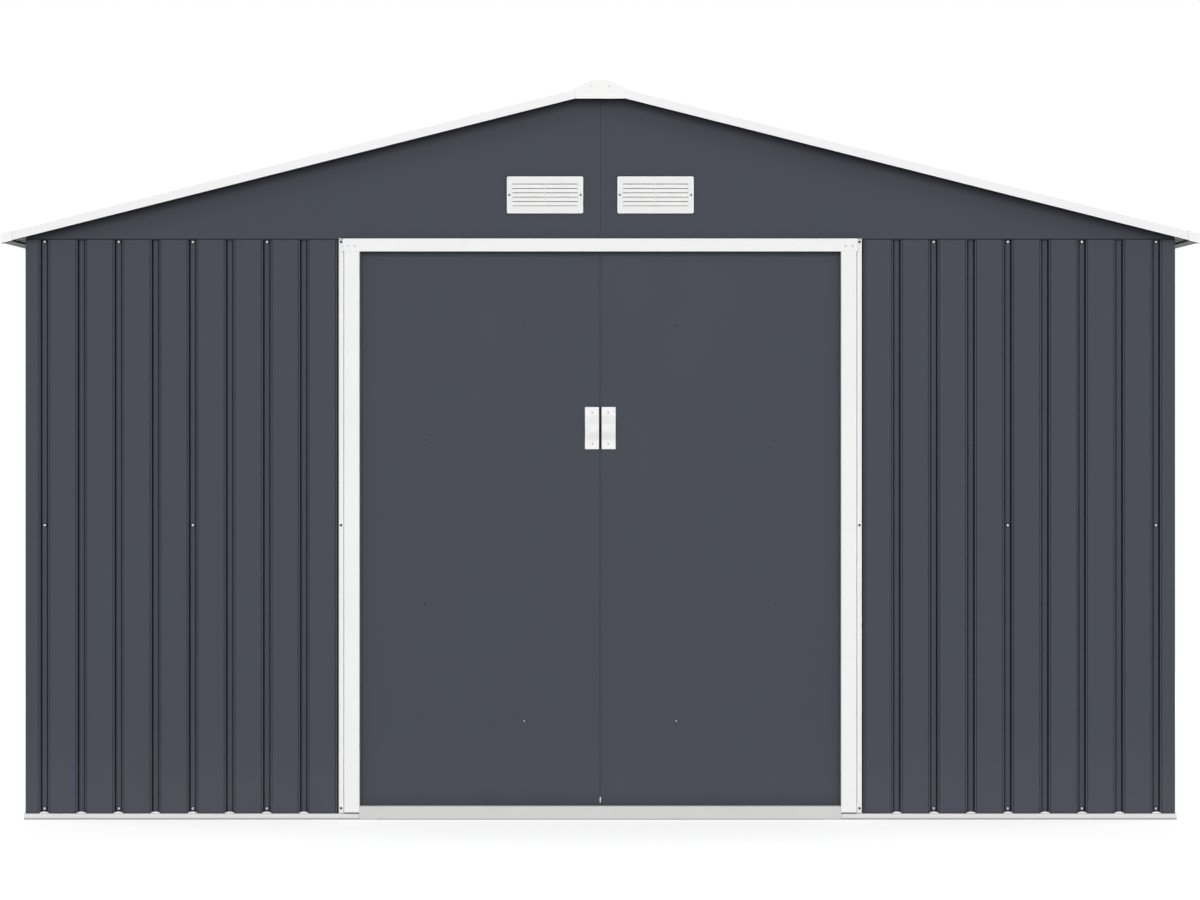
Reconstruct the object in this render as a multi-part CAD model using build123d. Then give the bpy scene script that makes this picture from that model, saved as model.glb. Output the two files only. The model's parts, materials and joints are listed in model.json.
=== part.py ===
from build123d import *
import os
from math import atan, cos, sin

# Metal storage shed: ribbed sheet walls on a frame of folded rails, a pitched roof
# of ribbed sheets, and two doors that hang from a track behind the front wall.
# Millimetres. Origin on the ground at the middle of the plan, front towards -Y.

# Walls
rib_pitch = 105.0
corner_to_rib = 53.0
front_pitches = 30
side_pitches = 34
sheet_pitches = 4
jamb_pitches = 8
gable_height = 1645.0

# Roof
roof_slope = 0.2515
gable_overhang = 70.0
eave_overhang = 58.4
roof_pitches = 35

# Sheet metal
sheet_thickness = 0.8
trim_thickness = 1.0
rail_thickness = 1.2
seat_gap = 0.3
lap_gap = 0.2
lap_margin = 1.0

# Rib of the wall and roof sheets
rib_shoulder = 16.0
rib_terrace = 10.5
rib_step = 2.5
rib_foot = 8.0
rib_depth = 12.0

# Base rails
ledge_height = 16.7
ledge_reach = 4.0
upstand_height = 45.0
base_flange = 40.0
front_flange = 62.0
base_lip = 12.0
rail_joint_inset = 53.0
anchor_spacing = 3000.0
anchor_inset = 25.0
anchor_radius = 5.0

# Top rails and girts
top_rail_height = 35.0
top_rail_flange = 30.0
girt_height = 833.0
girt_width = 50.0
girt_depth = 18.0

# Doorway
jamb_face = 43.0
jamb_ramp = 3.65
jamb_proud = 6.0
jamb_flange = 12.7
jamb_return = 32.0
jamb_lip = 12.0
jamb_foot_gap = 2.0
header_reach = 1.3
sill_height = 38.0
sill_depth = 22.0
sill_front = 5.0
sill_toe = 9.0

# Doors
door_front = 38.0
door_depth = 20.0
door_sheet = 0.8
door_bottom = 26.6
door_travel = 630.0
door_overlap = 25.0
centre_gap = 5.0
door_lip = 14.0
brace_width = 34.0
brace_depth = 15.0
brace_upright_x = 216.0
brace_low = 607.0
brace_high = 1074.0
brace_margin = 185.0

# Door handles
handle_x = 23.7
handle_z = 1108.0
handle_width = 40.0
handle_length = 120.0
handle_reach = 28.0
handle_pad = 22.0
handle_pad_thickness = 3.5
handle_bar = 5.0
handle_ramp = 9.0
handle_slope = 8.0

# Door track, hangers and guides
track_drop = 23.0
track_gap = 8.5
track_height = 34.0
track_width = 36.0
track_wall = 1.5
track_slot = 14.0
track_margin = 83.0
hanger_offset = 260.0
hanger_width = 40.0
hanger_plate = 2.5
hanger_foot = 60.0
roller_radius = 11.0
roller_width = 6.0
roller_offset = 11.5
pin_radius = 2.5
pin_clearance = 0.1
guide_fin = 22.0
fin_thickness = 1.5
guide_clearance = 1.0
guide_length = 40.0
guide_thickness = 14.0
guide_bottom = 12.0

# Gables and their vents
gable_joint = 1.0
vent_x = 156.5
vent_rise = 123.5
vent_width = 216.0
vent_height = 104.5
vent_thickness = 4.0
vent_corner = 2.0
vent_rim = 3.7
vent_rim_height = 0.8
vent_span = 184.0
vent_slats = 7
vent_slat_pitch = 12.4
vent_slat_lip = 2.0
vent_slat_depth = 6.0
vent_stay = 3.0
vent_spigot = 8.0

# Roof frame
purlin_x = 820.0
purlin_depth = 40.0
purlin_flange = 28.0
ridge_beam_half = 30.0
truss_y = 613.0
truss_width = 25.0
tie_height = 38.0
chord_depth = 30.0
post_half = 12.5
strut_foot_x = 70.0
strut_head_x = 760.0
strut_width = 26.0

# Roof trims
rake_drop = 5.0
rake_height = 24.5
rake_flange = 30.0
cap_wall = 1.0
cap_length = 31.0
trim_lap = 6.5
ridge_shoulder = 69.0
ridge_flat = 20.7
ridge_rise = 28.1
ridge_shoulder_drop = 21.7
ridge_plate_height = 51.3
ridge_plate = 1.5
ridge_rim = 14.0

# Worked out from the sizes above
wall_width = front_pitches * rib_pitch + 2 * corner_to_rib
wall_depth = side_pitches * rib_pitch + 2 * corner_to_rib
half_width = wall_width / 2
half_depth = wall_depth / 2
wall_top = gable_height - rail_thickness - seat_gap
wall_bottom = ledge_height + seat_gap
rail_line = sheet_thickness + rib_depth + seat_gap
sheet_line = sheet_thickness + seat_gap
jamb_x = half_width - corner_to_rib - jamb_pitches * rib_pitch
jamb_outer = jamb_x - jamb_flange / 2
opening_half = jamb_outer - jamb_ramp - jamb_face
header_drop = top_rail_height + rail_thickness + lap_gap
roof_angle = atan(roof_slope)
eave_x = half_width + eave_overhang
roof_end = half_depth + gable_overhang
roof_stack = rib_depth + 2 * sheet_thickness + lap_gap
track_centre = door_front + door_depth / 2
track_bottom = gable_height - track_drop
door_top = track_bottom - track_gap
leaf_inner = centre_gap / 2
leaf_outer = opening_half + door_overlap
leaf_middle = (leaf_inner + leaf_outer) / 2
track_half = leaf_outer + door_travel + track_margin
vent_z = gable_height + vent_rise
wall_rib = ((rib_shoulder, 0), (rib_terrace, rib_step), (rib_foot, rib_depth))
roof_rib = ((rib_shoulder, 0), (rib_foot, rib_depth))


def roof_z(x):
    # Underside of the flat of the roof sheets
    return gable_height + rake_drop + roof_slope * (half_width - abs(x))


def outline(*points):
    return make_face(Polyline(*points, close=True))


def left_normal(start, end):
    run = (end - start).normalized()
    return Vector(-run.Y, run.X)


def bent(thickness, *points):
    # Section of a bent sheet: the points are one skin and the metal lies to their left
    skin = [Vector(*point) for point in points]
    normals = [left_normal(a, b) for a, b in zip(skin, skin[1:])]
    other = [skin[0] + normals[0] * thickness]
    for corner, before, after in zip(skin[1:-1], normals, normals[1:]):
        reach = thickness / (1 + before.dot(after))
        other.append(corner + (before + after) * reach)
    other.append(skin[-1] + normals[-1] * thickness)
    return outline(*skin, *reversed(other))


def along_x(section, start, end):
    # The section is drawn as (y, z)
    return extrude(Plane.YZ.offset(start) * section, amount=end - start, dir=(1, 0, 0))


def along_y(section, start, end):
    # The section is drawn as (x, z)
    return extrude(Plane.XZ.offset(-start) * section, amount=end - start, dir=(0, 1, 0))


def along_z(section, start, end):
    # The section is drawn as (x, y)
    return extrude(Plane.XY.offset(start) * section, amount=end - start, dir=(0, 0, 1))


def block(x_range, y_range, z_range):
    size = [high - low for low, high in (x_range, y_range, z_range)]
    corner = Pos(x_range[0], y_range[0], z_range[0])
    return corner * Box(*size, align=(Align.MIN, Align.MIN, Align.MIN))


def front(shape):
    # From a wall's own frame, with y the depth from its outer face, to the front wall
    return Pos(0, -half_depth, 0) * shape


def back(shape):
    return Rot(0, 0, 180) * front(shape)


def left_side(shape):
    return Rot(0, 0, -90) * (Pos(0, -half_width, 0) * shape)


def right_side(shape):
    return Rot(0, 0, 180) * left_side(shape)


def both(shape):
    return [shape, mirror(shape, about=Plane.YZ)]


def front_and_back(shapes):
    return list(shapes) + [mirror(shape, about=Plane.XZ) for shape in shapes]


def write(name, shapes):
    solids = [solid for shape in shapes for solid in shape.solids()]
    export_step(Compound(children=solids), os.path.join("parts", name + ".step"))


# Ribbed sheets

def falling_side(rib, profile, sign):
    # From the flat down one side of a rib to its floor, or up where the sign is positive
    return [(rib - reach, sign * height) for reach, height in profile]


def rising_side(rib, profile, sign, lift=0.0):
    # From the floor of a rib back to the flat, with the floor moved by the lift
    foot, height = profile[-1]
    side = [(rib + foot, sign * height + lift)]
    side += [(rib + reach, sign * height) for reach, height in reversed(profile[:-1])]
    return side


def ribbed_section(ribs, profile, sign, start, end):
    # Each end is over or under its neighbour's rib, or a plain edge at the distance given
    first = ribs[0]
    last = ribs[-1]
    floor = sign * rib_depth
    points = []
    whole = list(ribs)
    if start in ("over", "under"):
        lift = sheet_thickness + lap_gap if start == "over" else 0.0
        points.append((first - rib_foot + lap_margin, floor + lift))
        points += rising_side(first, profile, sign, lift)
        whole.remove(first)
    else:
        points.append((start, 0))
    if end == "under":
        whole.remove(last)
    for rib in whole:
        points += falling_side(rib, profile, sign)
        points += rising_side(rib, profile, sign)
    if end == "under":
        points += falling_side(last, profile, sign)
        points.append((last + rib_foot - lap_margin, floor))
    else:
        points.append((end, 0))
    return bent(sheet_thickness, *points)


def rib_places(count, first):
    return [first + index * rib_pitch for index in range(count)]


def sheet_spans(pitches):
    # Full sheets first, and one narrower sheet for what is left
    spans = []
    start = 0
    while start < pitches:
        end = min(start + sheet_pitches, pitches)
        spans.append((start, end))
        start = end
    return spans


def wall_sheets(pitches, origin, top):
    # A run of lapped sheets, both of its end ribs under what covers them
    ribs = rib_places(pitches + 1, origin)
    sheets = []
    for start, end in sheet_spans(pitches):
        lap = "under" if start == 0 else "over"
        section = ribbed_section(ribs[start:end + 1], wall_rib, -1, lap, "under")
        placed = Pos(0, sheet_thickness, 0) * mirror(section, about=Plane.XZ)
        sheets.append(along_z(placed, wall_bottom, top))
    return sheets


def corner_panel():
    # Folded round the front left corner, and lapped over the first rib on each side
    lap_depth = rib_depth - sheet_thickness - lap_gap
    side = falling_side(corner_to_rib, wall_rib[:-1], 1)
    side.append((corner_to_rib - rib_foot, lap_depth))
    side.append((corner_to_rib + rib_foot - lap_margin, lap_depth))
    turned = [(depth, along) for along, depth in reversed(side)]
    section = bent(sheet_thickness, *turned, (0, 0), *side)
    return Pos(-half_width, -half_depth, 0) * along_z(section, wall_bottom, wall_top)


def side_wall_top():
    return roof_z(half_width) - 2 * seat_gap - rail_thickness


def front_wall_sheets():
    first = -half_width + corner_to_rib
    return [front(sheet) for sheet in wall_sheets(jamb_pitches, first, wall_top)]


def back_wall_sheets():
    first = -half_width + corner_to_rib
    return [back(sheet) for sheet in wall_sheets(front_pitches, first, wall_top)]


def side_wall_sheets():
    first = -half_depth + corner_to_rib
    return wall_sheets(side_pitches, first, side_wall_top())


# Frame rails

def mitred(rail, half):
    # Ends cut at 45 degrees, where the rails of two walls meet
    reach = 80.0
    ledge = 2 * ledge_reach
    keep = outline(
        (-half - ledge + lap_gap, -ledge),
        (half + ledge - lap_gap, -ledge),
        (half - reach - lap_gap, reach),
        (-half + reach + lap_gap, reach),
    )
    return rail & along_z(keep, 0, 2 * gable_height)


def base_rail(half, flange):
    section = bent(
        rail_thickness,
        (rail_line, upstand_height),
        (rail_line, ledge_height),
        (-ledge_reach, ledge_height),
        (-ledge_reach, 0),
        (flange, 0),
        (flange, base_lip),
    )
    return mitred(along_x(section, -half - 2 * ledge_reach, half + 2 * ledge_reach), half)


def front_base_rails():
    # Two lengths that meet behind the sill, with the upstand cut away at the doorway
    rail = base_rail(half_width, front_flange)
    notch = opening_half + jamb_lip + guide_clearance
    upstand = (rail_line - seat_gap, rail_line + rail_thickness + seat_gap)
    rail -= block((-notch, notch), upstand, (ledge_height, upstand_height + seat_gap))
    joint_x = rail_joint_inset - opening_half
    joint = block(
        (joint_x - seat_gap, joint_x + seat_gap),
        (-2 * ledge_reach, front_flange + seat_gap),
        (-seat_gap, upstand_height),
    )
    return [front(rail - joint)]


def side_base_rail():
    rail = base_rail(half_depth, base_flange)
    for place in (-anchor_spacing / 2, anchor_spacing / 2):
        rail -= Pos(place, anchor_inset, 0) * Cylinder(anchor_radius, 4 * rail_thickness)
    return rail


def top_rail(half, outer_z, inner_z):
    # Z section: foot flange inwards, web behind the ribs, top flange over the grooves
    web_back = rail_line + rail_thickness
    low = gable_height - top_rail_height
    section = bent(
        rail_thickness,
        (top_rail_flange, low),
        (web_back, low),
        (web_back, inner_z),
        (sheet_line, outer_z),
    )
    return mitred(along_x(section, -half, half), half)


def level_top_rail():
    return top_rail(half_width, gable_height, gable_height)


def eave_top_rail():
    # The top flange follows the roof and carries the sheets
    web_back = rail_line + rail_thickness
    outer_z = roof_z(half_width - sheet_line) - seat_gap
    inner_z = roof_z(half_width - web_back) - seat_gap
    return top_rail(half_depth, outer_z, inner_z)


def girt(start, end):
    low = girt_height - girt_width / 2
    high = girt_height + girt_width / 2
    back_edge = rail_line + girt_depth
    section = bent(
        trim_thickness,
        (back_edge, high),
        (rail_line, high),
        (rail_line, low),
        (back_edge, low),
    )
    return along_x(section, start, end)


def wall_girts():
    corner = half_width - rail_line - girt_depth - seat_gap
    jamb_side = opening_half + jamb_lip + guide_clearance
    front_left = front(girt(-corner, -jamb_side))
    girts = both(front_left)
    girts.append(back(girt(-corner, corner)))
    side_end = half_depth - rail_line
    girts.append(left_side(girt(-side_end, side_end)))
    girts.append(right_side(girt(-side_end, side_end)))
    return girts


# Doorway

def door_jamb():
    # Left jamb: a flange in the groove of the last rib, a proud face and a return
    flange_depth = rib_depth - trim_thickness - lap_gap
    face_start = -opening_half - jamb_face
    section = bent(
        trim_thickness,
        (-jamb_outer - jamb_flange, flange_depth),
        (-jamb_outer, flange_depth),
        (face_start, -jamb_proud),
        (-opening_half, -jamb_proud),
        (-opening_half, jamb_return),
        (-opening_half - jamb_lip, jamb_return),
    )
    jamb = along_z(section, wall_bottom, wall_top)
    rail_foot = gable_height - top_rail_height - rail_thickness - seat_gap
    behind = (rail_line - 2 * seat_gap, jamb_return + seat_gap)
    side = (-opening_half - 2 * jamb_lip, -opening_half + seat_gap)
    jamb -= block(side, behind, (rail_foot, gable_height))
    proud = (-jamb_proud - seat_gap, 0)
    foot = (wall_bottom - seat_gap, wall_bottom + jamb_foot_gap)
    return front(jamb - block((-jamb_outer, -opening_half + seat_gap), proud, foot))


def door_header():
    # A channel over the doorway; only its face runs on over the jambs
    low = gable_height - header_drop
    outer = jamb_proud + header_reach
    section = bent(
        trim_thickness,
        (-lap_gap, gable_height),
        (-outer, gable_height),
        (-outer, low),
        (rail_line - 2 * seat_gap, low),
    )
    half = jamb_outer
    header = along_x(section, -half, half)
    behind = (-outer + trim_thickness, rail_line)
    level = (low - seat_gap, gable_height - header_drop / 2)
    for side in ((-half - seat_gap, -opening_half + lap_gap), (opening_half - lap_gap, half + seat_gap)):
        header -= block(side, behind, level)
    return front(header)


def door_sill():
    section = bent(
        trim_thickness,
        (sill_depth, rail_thickness + seat_gap),
        (sill_depth, sill_height),
        (-sill_front, sill_height),
        (-sill_toe, trim_thickness),
        (-ledge_reach - seat_gap, trim_thickness),
    )
    half = opening_half - seat_gap
    return front(along_x(section, -half, half))


def door_track():
    # C rail open below, with a flange that hangs it from the top rail
    inner = track_centre - track_width / 2
    outer = track_centre + track_width / 2
    top = track_bottom + track_height
    hook = rail_line + rail_thickness + seat_gap
    section = outline((inner, track_bottom), (outer, track_bottom), (outer, top), (inner, top))
    section -= outline(
        (inner + track_wall, track_bottom + track_wall),
        (outer - track_wall, track_bottom + track_wall),
        (outer - track_wall, top - track_wall),
        (inner + track_wall, top - track_wall),
    )
    section -= outline(
        (track_centre - track_slot / 2, track_bottom - track_wall),
        (track_centre + track_slot / 2, track_bottom - track_wall),
        (track_centre + track_slot / 2, track_bottom + 2 * track_wall),
        (track_centre - track_slot / 2, track_bottom + 2 * track_wall),
    )
    shelf = track_bottom + track_height / 2
    rail_foot = gable_height - top_rail_height + seat_gap
    section += outline(
        (hook, shelf - track_wall),
        (inner, shelf - track_wall),
        (inner, shelf),
        (hook, shelf),
    )
    section += outline(
        (hook, rail_foot),
        (hook + track_wall, rail_foot),
        (hook + track_wall, shelf),
        (hook, shelf),
    )
    return front(along_x(section, -track_half, track_half))


def door_guide_rail():
    # Inverted T on the base flange, with the fin that the door guides straddle
    low = rail_thickness + seat_gap
    half_foot = door_depth / 2
    section = outline(
        (track_centre - half_foot, low),
        (track_centre + half_foot, low),
        (track_centre + half_foot, low + rail_thickness),
        (track_centre + fin_thickness / 2, low + rail_thickness),
        (track_centre + fin_thickness / 2, guide_fin),
        (track_centre - fin_thickness / 2, guide_fin),
        (track_centre - fin_thickness / 2, low + rail_thickness),
        (track_centre - half_foot, low + rail_thickness),
    )
    return front(along_x(section, -track_half, track_half))


# Left door; the right one is its mirror image

def door_panel():
    rear = door_front + door_depth
    section = bent(
        door_sheet,
        (-leaf_outer + door_lip, rear),
        (-leaf_outer, rear),
        (-leaf_outer, door_front),
        (-leaf_inner, door_front),
        (-leaf_inner, rear),
        (-leaf_inner - door_lip, rear),
    )
    panel = along_z(section, door_bottom, door_top)
    width = (-leaf_outer, -leaf_inner)
    depth = (door_front, rear)
    panel += block(width, depth, (door_bottom, door_bottom + door_sheet))
    panel += block(width, depth, (door_top - door_sheet, door_top))
    return front(panel)


def brace_section():
    near = door_front + door_sheet + seat_gap
    far = near + brace_depth
    half = brace_width / 2
    return near, far, half


def door_braces():
    # Channels behind the door sheet: one upright, and two rails from it to the outer edge
    near, far, half = brace_section()
    upright = bent(
        trim_thickness,
        (-brace_upright_x - half, far),
        (-brace_upright_x - half, near),
        (-brace_upright_x + half, near),
        (-brace_upright_x + half, far),
    )
    braces = [front(along_z(upright, door_bottom + brace_margin, door_top - brace_margin))]
    outer = -leaf_outer + door_sheet + seat_gap
    inner = -brace_upright_x - half - seat_gap
    for level in (brace_low, brace_high):
        rail = bent(
            trim_thickness,
            (far, level + half),
            (near, level + half),
            (near, level - half),
            (far, level - half),
        )
        braces.append(front(along_x(rail, outer, inner)))
    return braces


def door_handle():
    # Bow handle: a pad at each end on the door, and a raised grip between them whose
    # outer half slopes back. Its shape is where a side view and a plan view cross.
    seat = door_front - lap_gap
    crest = door_front - handle_reach
    inner = handle_width / 2 - handle_x
    outer = -handle_width / 2 - handle_x
    half = handle_length / 2
    pad = half - handle_pad
    bar = pad - handle_ramp

    def crossed(width, side, crest_depth, back_depth):
        # The side view is drawn as (depth, height), and the plan as (x, depth)
        near, far = width
        slope = handle_slope * (handle_x + near) / (handle_x + outer)
        plan = outline(
            (far, crest_depth),
            (-handle_x, crest_depth),
            (near, crest_depth + slope),
            (near, back_depth),
            (far, back_depth),
        )
        return along_x(side, near, far) & along_z(plan, -half - seat_gap, half + seat_gap)

    pad_front = seat - handle_pad_thickness
    bow = outline(
        (seat, -half),
        (pad_front, -half),
        (pad_front, -pad),
        (crest, -bar),
        (crest, bar),
        (pad_front, pad),
        (pad_front, half),
        (seat, half),
    )
    rear = seat + seat_gap
    grip_back = crest + handle_bar
    gap = outline((rear, -pad), (seat, -pad), (grip_back, -bar), (grip_back, bar), (seat, pad), (rear, pad))
    handle = crossed((outer, inner), bow, crest, seat)
    handle -= crossed((outer - seat_gap, inner + seat_gap), gap, grip_back, rear)
    return front(Pos(0, 0, handle_z) * handle)


def hanger_places():
    return [-leaf_middle - hanger_offset, -leaf_middle + hanger_offset]


def pin_height():
    return track_bottom + track_wall + seat_gap + roller_radius


def door_hangers():
    # Foot on the door's top edge, and a plate up through the slot to the pin of two rollers
    hangers = []
    low = door_top + lap_gap
    half = hanger_plate / 2
    for place in hanger_places():
        foot = block(
            (place - hanger_foot / 2, place + hanger_foot / 2),
            (track_centre - door_depth / 2, track_centre + door_depth / 2),
            (low, low + hanger_plate),
        )
        plate = block(
            (place - hanger_width / 2, place + hanger_width / 2),
            (track_centre - half, track_centre + half),
            (low, pin_height() + 3 * pin_radius),
        )
        centre = Pos(place, track_centre, pin_height()) * Rot(90, 0, 0)
        plate -= centre * Cylinder(pin_radius + pin_clearance, 2 * hanger_plate)
        hangers.append(front(foot + plate))
    return hangers


def door_rollers():
    # Two wheels on one pin, which turns in the hanger; each runs on one lip of the track
    inner = roller_offset - roller_width / 2
    outer = roller_offset + roller_width / 2
    section = outline(
        (0, -outer),
        (roller_radius, -outer),
        (roller_radius, -inner),
        (pin_radius, -inner),
        (pin_radius, inner),
        (roller_radius, inner),
        (roller_radius, outer),
        (0, outer),
    )
    rollers = revolve(Plane.XZ * section, Axis.Z)
    centres = [Pos(place, track_centre, pin_height()) for place in hanger_places()]
    return [front(centre * Rot(90, 0, 0) * rollers) for centre in centres]


def door_guides():
    # Blocks under the door that straddle the fin of the guide rail
    guides = []
    top = door_bottom - seat_gap
    half = guide_thickness / 2
    slot = fin_thickness / 2 + guide_clearance
    for place in hanger_places():
        width = (place - guide_length / 2, place + guide_length / 2)
        guide = block(width, (track_centre - half, track_centre + half), (guide_bottom, top))
        guide -= block(
            (width[0] - seat_gap, width[1] + seat_gap),
            (track_centre - slot, track_centre + slot),
            (guide_bottom - seat_gap, guide_fin + guide_clearance),
        )
        guides.append(front(guide))
    return guides


# Gables and vents

def vent_hole_size(clearance):
    inset = 2 * vent_spigot + 2 * clearance
    return Rectangle(vent_width - inset, vent_height - inset)


def gable_panel():
    # Left half of the front gable: a flat sheet with folded edges behind it
    low = gable_height + seat_gap
    joint = wall_top + gable_joint
    inner = lap_gap
    top = seat_gap * 2
    edge = half_width - 2 * sheet_thickness
    sheet = outline(
        (-edge, joint),
        (-inner, joint),
        (-inner, roof_z(inner) - top),
        (-edge, roof_z(edge) - top),
    )
    sheet -= Pos(-vent_x, vent_z) * vent_hole_size(0)
    panel = along_y(sheet, 0, sheet_thickness)
    fold_end = half_width - rail_line - rail_thickness - guide_clearance
    foot = outline(
        (-fold_end, low),
        (-inner, low),
        (-inner, low + sheet_thickness),
        (-fold_end, low + sheet_thickness),
    )
    seam = outline(
        (-inner - sheet_thickness, low),
        (-inner, low),
        (-inner, roof_z(inner) - top),
        (-inner - sheet_thickness, roof_z(inner + sheet_thickness) - top),
    )
    slope = outline(
        (-fold_end, roof_z(fold_end) - top - sheet_thickness),
        (-inner, roof_z(inner) - top - sheet_thickness),
        (-inner, roof_z(inner) - top),
        (-fold_end, roof_z(fold_end) - top),
    )
    panel += along_y(foot, 0, girt_depth + base_lip / 2)
    panel += along_y(seam, 0, girt_depth)
    panel += along_y(slope, 0, girt_depth)
    return front(panel)


def gable_vent():
    # Louvred plate with a rim, overlapping slanted slats on a thin stay, and a spigot behind
    face = -lap_gap - vent_thickness
    window = vent_slats * vent_slat_pitch
    whole = Rectangle(vent_width, vent_height)
    whole = chamfer(whole.vertices(), vent_corner)
    plate = whole - Rectangle(vent_span, window)
    rim = whole - Rectangle(vent_width - 2 * vent_rim, vent_height - 2 * vent_rim)
    centre = Pos(-vent_x, vent_z)
    vent = along_y(centre * plate, face, -lap_gap)
    vent += along_y(centre * rim, face - vent_rim_height, face)
    for index in range(vent_slats):
        low = vent_z - window / 2 + index * vent_slat_pitch
        high = low + vent_slat_pitch + lap_margin
        slat = outline(
            (face, low - seat_gap),
            (face, low + vent_slat_lip),
            (vent_slat_depth, high),
            (vent_slat_depth, high - vent_slat_lip - seat_gap),
        )
        vent += along_x(slat, -vent_x - vent_span / 2, -vent_x + vent_span / 2)
    ring = centre * (vent_hole_size(seat_gap) - vent_hole_size(seat_gap + trim_thickness))
    vent += along_y(ring, -lap_gap - trim_thickness, vent_spigot)
    stay = centre * Rectangle(vent_stay, vent_height - 2 * vent_spigot - 2 * seat_gap)
    vent += along_y(stay, face + trim_thickness, vent_spigot)
    return front(vent)


# Roof

def slope_band(near, far, low, high):
    # Band between two lines along the right roof slope, cut upright at both ends
    return outline(
        (near, roof_z(near) + low),
        (far, roof_z(far) + low),
        (far, roof_z(far) + high),
        (near, roof_z(near) + high),
    )


def slope_plane(distance):
    # Across the right slope, with x along the ridge and y square to the roof
    run = distance * cos(roof_angle)
    drop = distance * sin(roof_angle)
    down = (cos(roof_angle), 0, -sin(roof_angle))
    return Plane(origin=(run, 0, roof_z(0) - drop), x_dir=(0, 1, 0), z_dir=down)


def eave_face():
    # Inner side of the eave trim's face
    return eave_x - cap_wall - seat_gap - trim_thickness


def roof_sheets():
    edge = roof_end - cap_wall - seat_gap - trim_thickness
    ribs = rib_places(roof_pitches + 1, -roof_pitches * rib_pitch / 2)
    near = 2 * trim_thickness
    far = (eave_face() - seat_gap - roof_stack * sin(roof_angle)) / cos(roof_angle)
    sheets = []
    for start, end in sheet_spans(roof_pitches):
        left = -edge if start == 0 else "over"
        right = edge if end == roof_pitches else "under"
        section = ribbed_section(ribs[start:end + 1], roof_rib, 1, left, right)
        placed = slope_plane(near) * section
        down = slope_plane(near).z_dir
        sheets.append(extrude(placed, amount=far - near, dir=tuple(down)))
    return sheets


def purlin():
    down = (cos(roof_angle), 0, -sin(roof_angle))
    plane = Plane(origin=(purlin_x, 0, roof_z(purlin_x)), x_dir=down, z_dir=(0, -1, 0))
    section = bent(
        rail_thickness,
        (purlin_flange, -seat_gap),
        (0, -seat_gap),
        (0, -seat_gap - purlin_depth),
        (purlin_flange, -seat_gap - purlin_depth),
    )
    half = half_depth - girt_depth - seat_gap
    placed = Pos(0, half, 0) * (plane * section)
    return extrude(placed, amount=2 * half, dir=(0, -1, 0))


def chord_top(x):
    return roof_z(x) - (purlin_depth + 2 * seat_gap) / cos(roof_angle)


def chord_bottom(x):
    return chord_top(x) - chord_depth / cos(roof_angle)


def ridge_beam():
    low = chord_top(0) + seat_gap
    top = seat_gap / cos(roof_angle)
    half = half_depth - girt_depth - seat_gap
    section = bent(
        rail_thickness,
        (ridge_beam_half, low),
        (ridge_beam_half, roof_z(ridge_beam_half) - top),
        (0, roof_z(0) - top),
        (-ridge_beam_half, roof_z(ridge_beam_half) - top),
        (-ridge_beam_half, low),
    )
    return along_y(section, -half, half)


def truss(place):
    # Tie, two rafters, king post and two struts, all folded or flat steel
    low = gable_height - top_rail_height + seat_gap
    high = low + tie_height
    near = place - truss_width / 2
    far = place + truss_width / 2
    tie_end = half_width - rail_line - rail_thickness - seat_gap
    tie = bent(rail_thickness, (far, high), (near, high), (near, low), (far, low))
    pieces = [along_x(tie, -tie_end, tie_end)]
    foot = high + seat_gap
    rafter_end = (chord_top(0) - foot) / roof_slope
    heel = (chord_bottom(0) - foot) / roof_slope
    rafter = outline(
        (seat_gap, chord_bottom(seat_gap)),
        (heel, foot),
        (rafter_end, foot),
        (seat_gap, chord_top(seat_gap)),
    )
    pieces += both(along_y(rafter, near, near + 4 * rail_thickness))
    head = chord_bottom(post_half) - seat_gap
    post = outline((-post_half, foot), (post_half, foot), (post_half, head), (-post_half, head))
    pieces.append(along_y(post, near, near + 4 * rail_thickness))
    strut = outline(
        (strut_foot_x, foot),
        (strut_foot_x + 2 * strut_width, foot),
        (strut_head_x + strut_width, chord_bottom(strut_head_x + strut_width) - seat_gap),
        (strut_head_x, chord_bottom(strut_head_x) - seat_gap),
    )
    pieces += both(along_y(strut, near, near + 4 * rail_thickness))
    return pieces


def rake_trim():
    # Right half of the front rake: a channel round the ends of the roof sheets
    low = -rake_drop
    high = rake_height - rake_drop
    end = eave_x - cap_length + trim_lap
    start = -roof_end + cap_wall + seat_gap
    inner = ridge_shoulder + guide_clearance
    trim = along_y(slope_band(seat_gap, end, low, high), start, start + trim_thickness)
    foot = slope_band(seat_gap, end, low, low + trim_thickness)
    trim += along_y(foot, start, start + rake_flange)
    head = slope_band(inner, end, high - trim_thickness, high)
    trim += along_y(head, start, start + rake_flange)
    return trim


def eave_trim():
    low = -rake_drop
    high = rake_height - rake_drop
    face = eave_face()
    start = eave_x - cap_length + trim_lap + seat_gap
    section = slope_band(face, face + trim_thickness, low, high)
    section += slope_band(start, face + trim_thickness, low, low + trim_thickness)
    section += slope_band(start, face + trim_thickness, high - trim_thickness, high)
    half = roof_end - cap_wall - seat_gap
    return along_y(section, -half, half)


def eave_corner_cap():
    # Folded cap over the meeting of rake and eave trims, at the front right
    low = -rake_drop
    high = rake_height - rake_drop
    near = eave_x - cap_length
    shell = along_y(
        slope_band(near, eave_x, low - cap_wall - seat_gap, high + cap_wall + seat_gap),
        -roof_end,
        -roof_end + cap_length,
    )
    shell -= along_y(
        slope_band(near - cap_wall, eave_x - cap_wall, low - seat_gap, high + seat_gap),
        -roof_end + cap_wall,
        -roof_end + cap_length + cap_wall,
    )
    return shell


def ridge_top():
    return roof_z(0) + ridge_rise


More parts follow.
